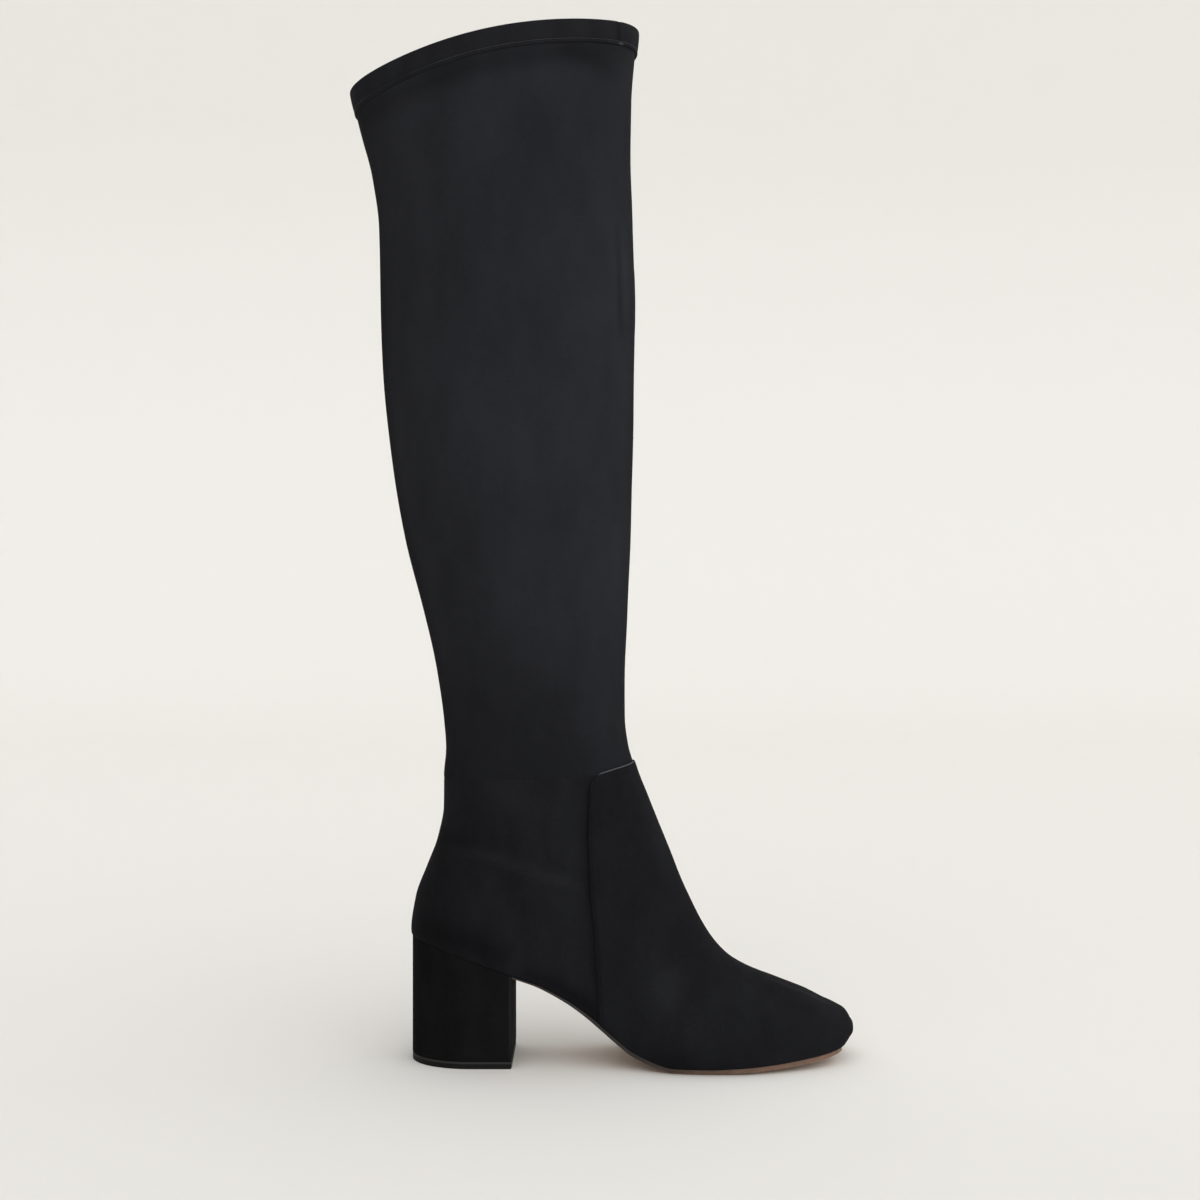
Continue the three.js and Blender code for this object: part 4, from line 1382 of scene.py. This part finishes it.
@dataclass
class Stitching:
    """Rows of lock stitches laid along paths by Geometry Nodes."""

    yarn: Material
    pitch: float = 2.9
    length: float = 2.1
    thread: float = 0.5

    def _tree(self) -> tuple[Tree, list[str]]:
        """Nodes that put a stitch on every step of a line, and their inputs' identifiers."""
        tree = bpy.data.node_groups.new("stitches along a line", "GeometryNodeTree")
        face = tree.interface
        face.new_socket("Geometry", in_out="INPUT", socket_type="NodeSocketGeometry")
        names = ("Pitch", "Stitch length", "Thread")
        made = [face.new_socket(name, in_out="INPUT", socket_type="NodeSocketFloat") for name in names]
        face.new_socket("Geometry", in_out="OUTPUT", socket_type="NodeSocketGeometry")
        given = add_node(tree, "NodeGroupInput", out=None)
        curve = add_node(tree, "GeometryNodeMeshToCurve", {0: given["Geometry"]})
        steps = {"Curve": curve, "Length": given["Pitch"]}
        places = add_node(tree, "GeometryNodeCurveToPoints", steps, None, mode="LENGTH")
        ball = add_node(tree, "GeometryNodeMeshUVSphere", {"Segments": 8, "Rings": 6, "Radius": 0.5})
        size = {0: given["Thread"], 1: given["Thread"], 2: given["Stitch length"]}
        laid = {"Points": places["Points"], "Rotation": places["Rotation"], "Instance": ball}
        laid["Scale"] = add_node(tree, "ShaderNodeCombineXYZ", size)
        real = add_node(
            tree, "GeometryNodeRealizeInstances", {0: add_node(tree, "GeometryNodeInstanceOnPoints", laid)}
        )
        smooth = add_node(tree, "GeometryNodeSetShadeSmooth", {0: real})
        dyed = add_node(tree, "GeometryNodeSetMaterial", {"Geometry": smooth, "Material": self.yarn})
        add_node(tree, "NodeGroupOutput", {"Geometry": dyed}, None)
        return tree, [socket.identifier for socket in made]

    def build(self, name: str, paths: Sequence[np.ndarray]) -> Piece:
        """Lay stitches along paths and keep them as one plain mesh.

        Args:
            name: Name of the piece.
            paths: Lines in millimetres.

        Returns:
            The object.
        """
        points, edges = [], []
        for path in paths:
            start = len(points)
            points += (np.asarray(path) * MM).tolist()
            edges += [(start + i, start + i + 1) for i in range(len(path) - 1)]
        mesh = bpy.data.meshes.new(name + " line")
        mesh.from_pydata(points, edges, [])
        line = bpy.data.objects.new(name + " line", mesh)
        bpy.context.scene.collection.objects.link(line)
        tree, sockets = self._tree()
        modifier = line.modifiers.new("stitches", "NODES")
        modifier.node_group = tree
        for socket, value in zip(sockets, (self.pitch, self.length, self.thread)):
            modifier[socket] = value * MM
        bpy.context.view_layer.update()
        evaluated = line.evaluated_get(bpy.context.evaluated_depsgraph_get())
        piece = bpy.data.objects.new(name, bpy.data.meshes.new_from_object(evaluated))
        bpy.context.scene.collection.objects.link(piece)
        bpy.data.objects.remove(line)
        bpy.data.node_groups.remove(tree)
        return piece


# Studio


@dataclass
class Studio:
    """Pale sweep, soft light and a camera level with the leg's lower half."""

    camera_at: tuple[float, float, float] = (77.8, -963, 260)
    lens: float = 50.7
    sensor: float = 36
    sight: float = 50

    def build(self) -> None:
        """Make the sweep, the lights and the camera."""
        self._camera()
        self._sweep()
        self._light()

    def _camera(self) -> None:
        """A level camera square to the boot's outer side."""
        data = bpy.data.cameras.new("camera")
        data.lens, data.sensor_width, data.clip_end = self.lens, self.sensor, self.sight
        camera = bpy.data.objects.new("camera", data)
        camera.location = [value * MM for value in self.camera_at]
        camera.rotation_euler = (math.pi / 2, 0, 0)
        bpy.context.scene.collection.objects.link(camera)
        bpy.context.scene.camera = camera

    def _sweep(self) -> None:
        """A floor that curves up into a wall far behind, in metres."""
        wide, radius, near, flat, high = 9.0, 1.6, -6.0, 2.2, 7.0
        angles = np.linspace(0, math.pi / 2, 97)[1:]
        bend = [(flat + radius * math.sin(a), radius * (1 - math.cos(a))) for a in angles]
        profile = [(near, 0.0), (flat, 0.0), *bend, (flat + radius, high)]
        points = np.array([(x, y, z) for y, z in profile for x in (-wide, wide)]) / MM
        faces = [[2 * i, 2 * i + 1, 2 * i + 3, 2 * i + 2] for i in range(len(profile) - 1)]
        sweep = mesh_object("sweep", points, faces)
        # Matt background paper: no mirror at all, so it takes the light evenly.
        paper = bpy.data.materials.new("matt paper")
        paper.use_nodes = True
        shader = paper.node_tree.nodes["Principled BSDF"]
        shader.inputs["Base Color"].default_value = linear("#ebe9e5")
        shader.inputs["Roughness"].default_value = 1.0
        shader.inputs["Specular IOR Level"].default_value = 0.0
        sweep.data.materials.append(paper)

    def _light(self) -> None:
        """An even surround, a little brighter from the front right and above."""
        bpy.context.scene.view_settings.view_transform = "Standard"
        world = bpy.context.scene.world = bpy.data.worlds.new("surround")
        world.use_nodes = True
        tree = world.node_tree
        way = add_node(tree, "ShaderNodeTexCoord", out="Generated")
        towards = {0: way, 1: (0.7, -0.42, 0.58)}
        key = add_node(tree, "ShaderNodeVectorMath", towards, "Value", operation="DOT_PRODUCT")
        span = {"Value": key, "From Min": -0.5, "From Max": 1.0, "To Min": 0.05, "To Max": 1.54}
        glow = add_node(tree, "ShaderNodeMapRange", span, interpolation_type="SMOOTHSTEP")
        tree.links.new(glow, tree.nodes["Background"].inputs["Strength"])
        tree.nodes["Background"].inputs["Color"].default_value = (1, 1, 0.995, 1)


def main() -> None:
    """Build the boot and its studio, and report each piece."""
    logging.basicConfig(level=logging.INFO, format="%(name)s: %(message)s")
    Studio().build()
    last, palette = Last(Sizes()), Palette()
    cloth = Cloth(last)
    leg, foot = Leg(last, cloth, palette), Foot(last, cloth, palette)
    pieces = leg.build() + foot.build() + Sole(last, palette).build()
    band_rows = Stitching(palette.band_thread_painted_highlight, pitch=1.9, length=1.75, thread=0.42)
    vamp_paths = [foot.vamp_stitch_path(side) for side in (Side.OUTER, Side.INNER)]
    for name, rows, paths, painted_strokes, finish in (
        ("stitches_collar_band", band_rows, [leg.band_stitch_path()], BAND_STITCH_PAINTED_SHADE, Finish.STRETCH),
        ("stitches_vamp", Stitching(palette.thread), vamp_paths, (), Finish.SUEDE),
    ):
        piece = rows.build(name, paths)
        # Painted shade on the band's stitches, where it is given.
        paint_light_and_shade(piece, painted_strokes)
        dress(piece, finish, ())
        pieces.append(piece)
    for piece in pieces:
        piece.data.calc_loop_triangles()
        LOG.info("%s: %d triangles", piece.name, len(piece.data.loop_triangles))


if __name__ == "__main__":
    main()
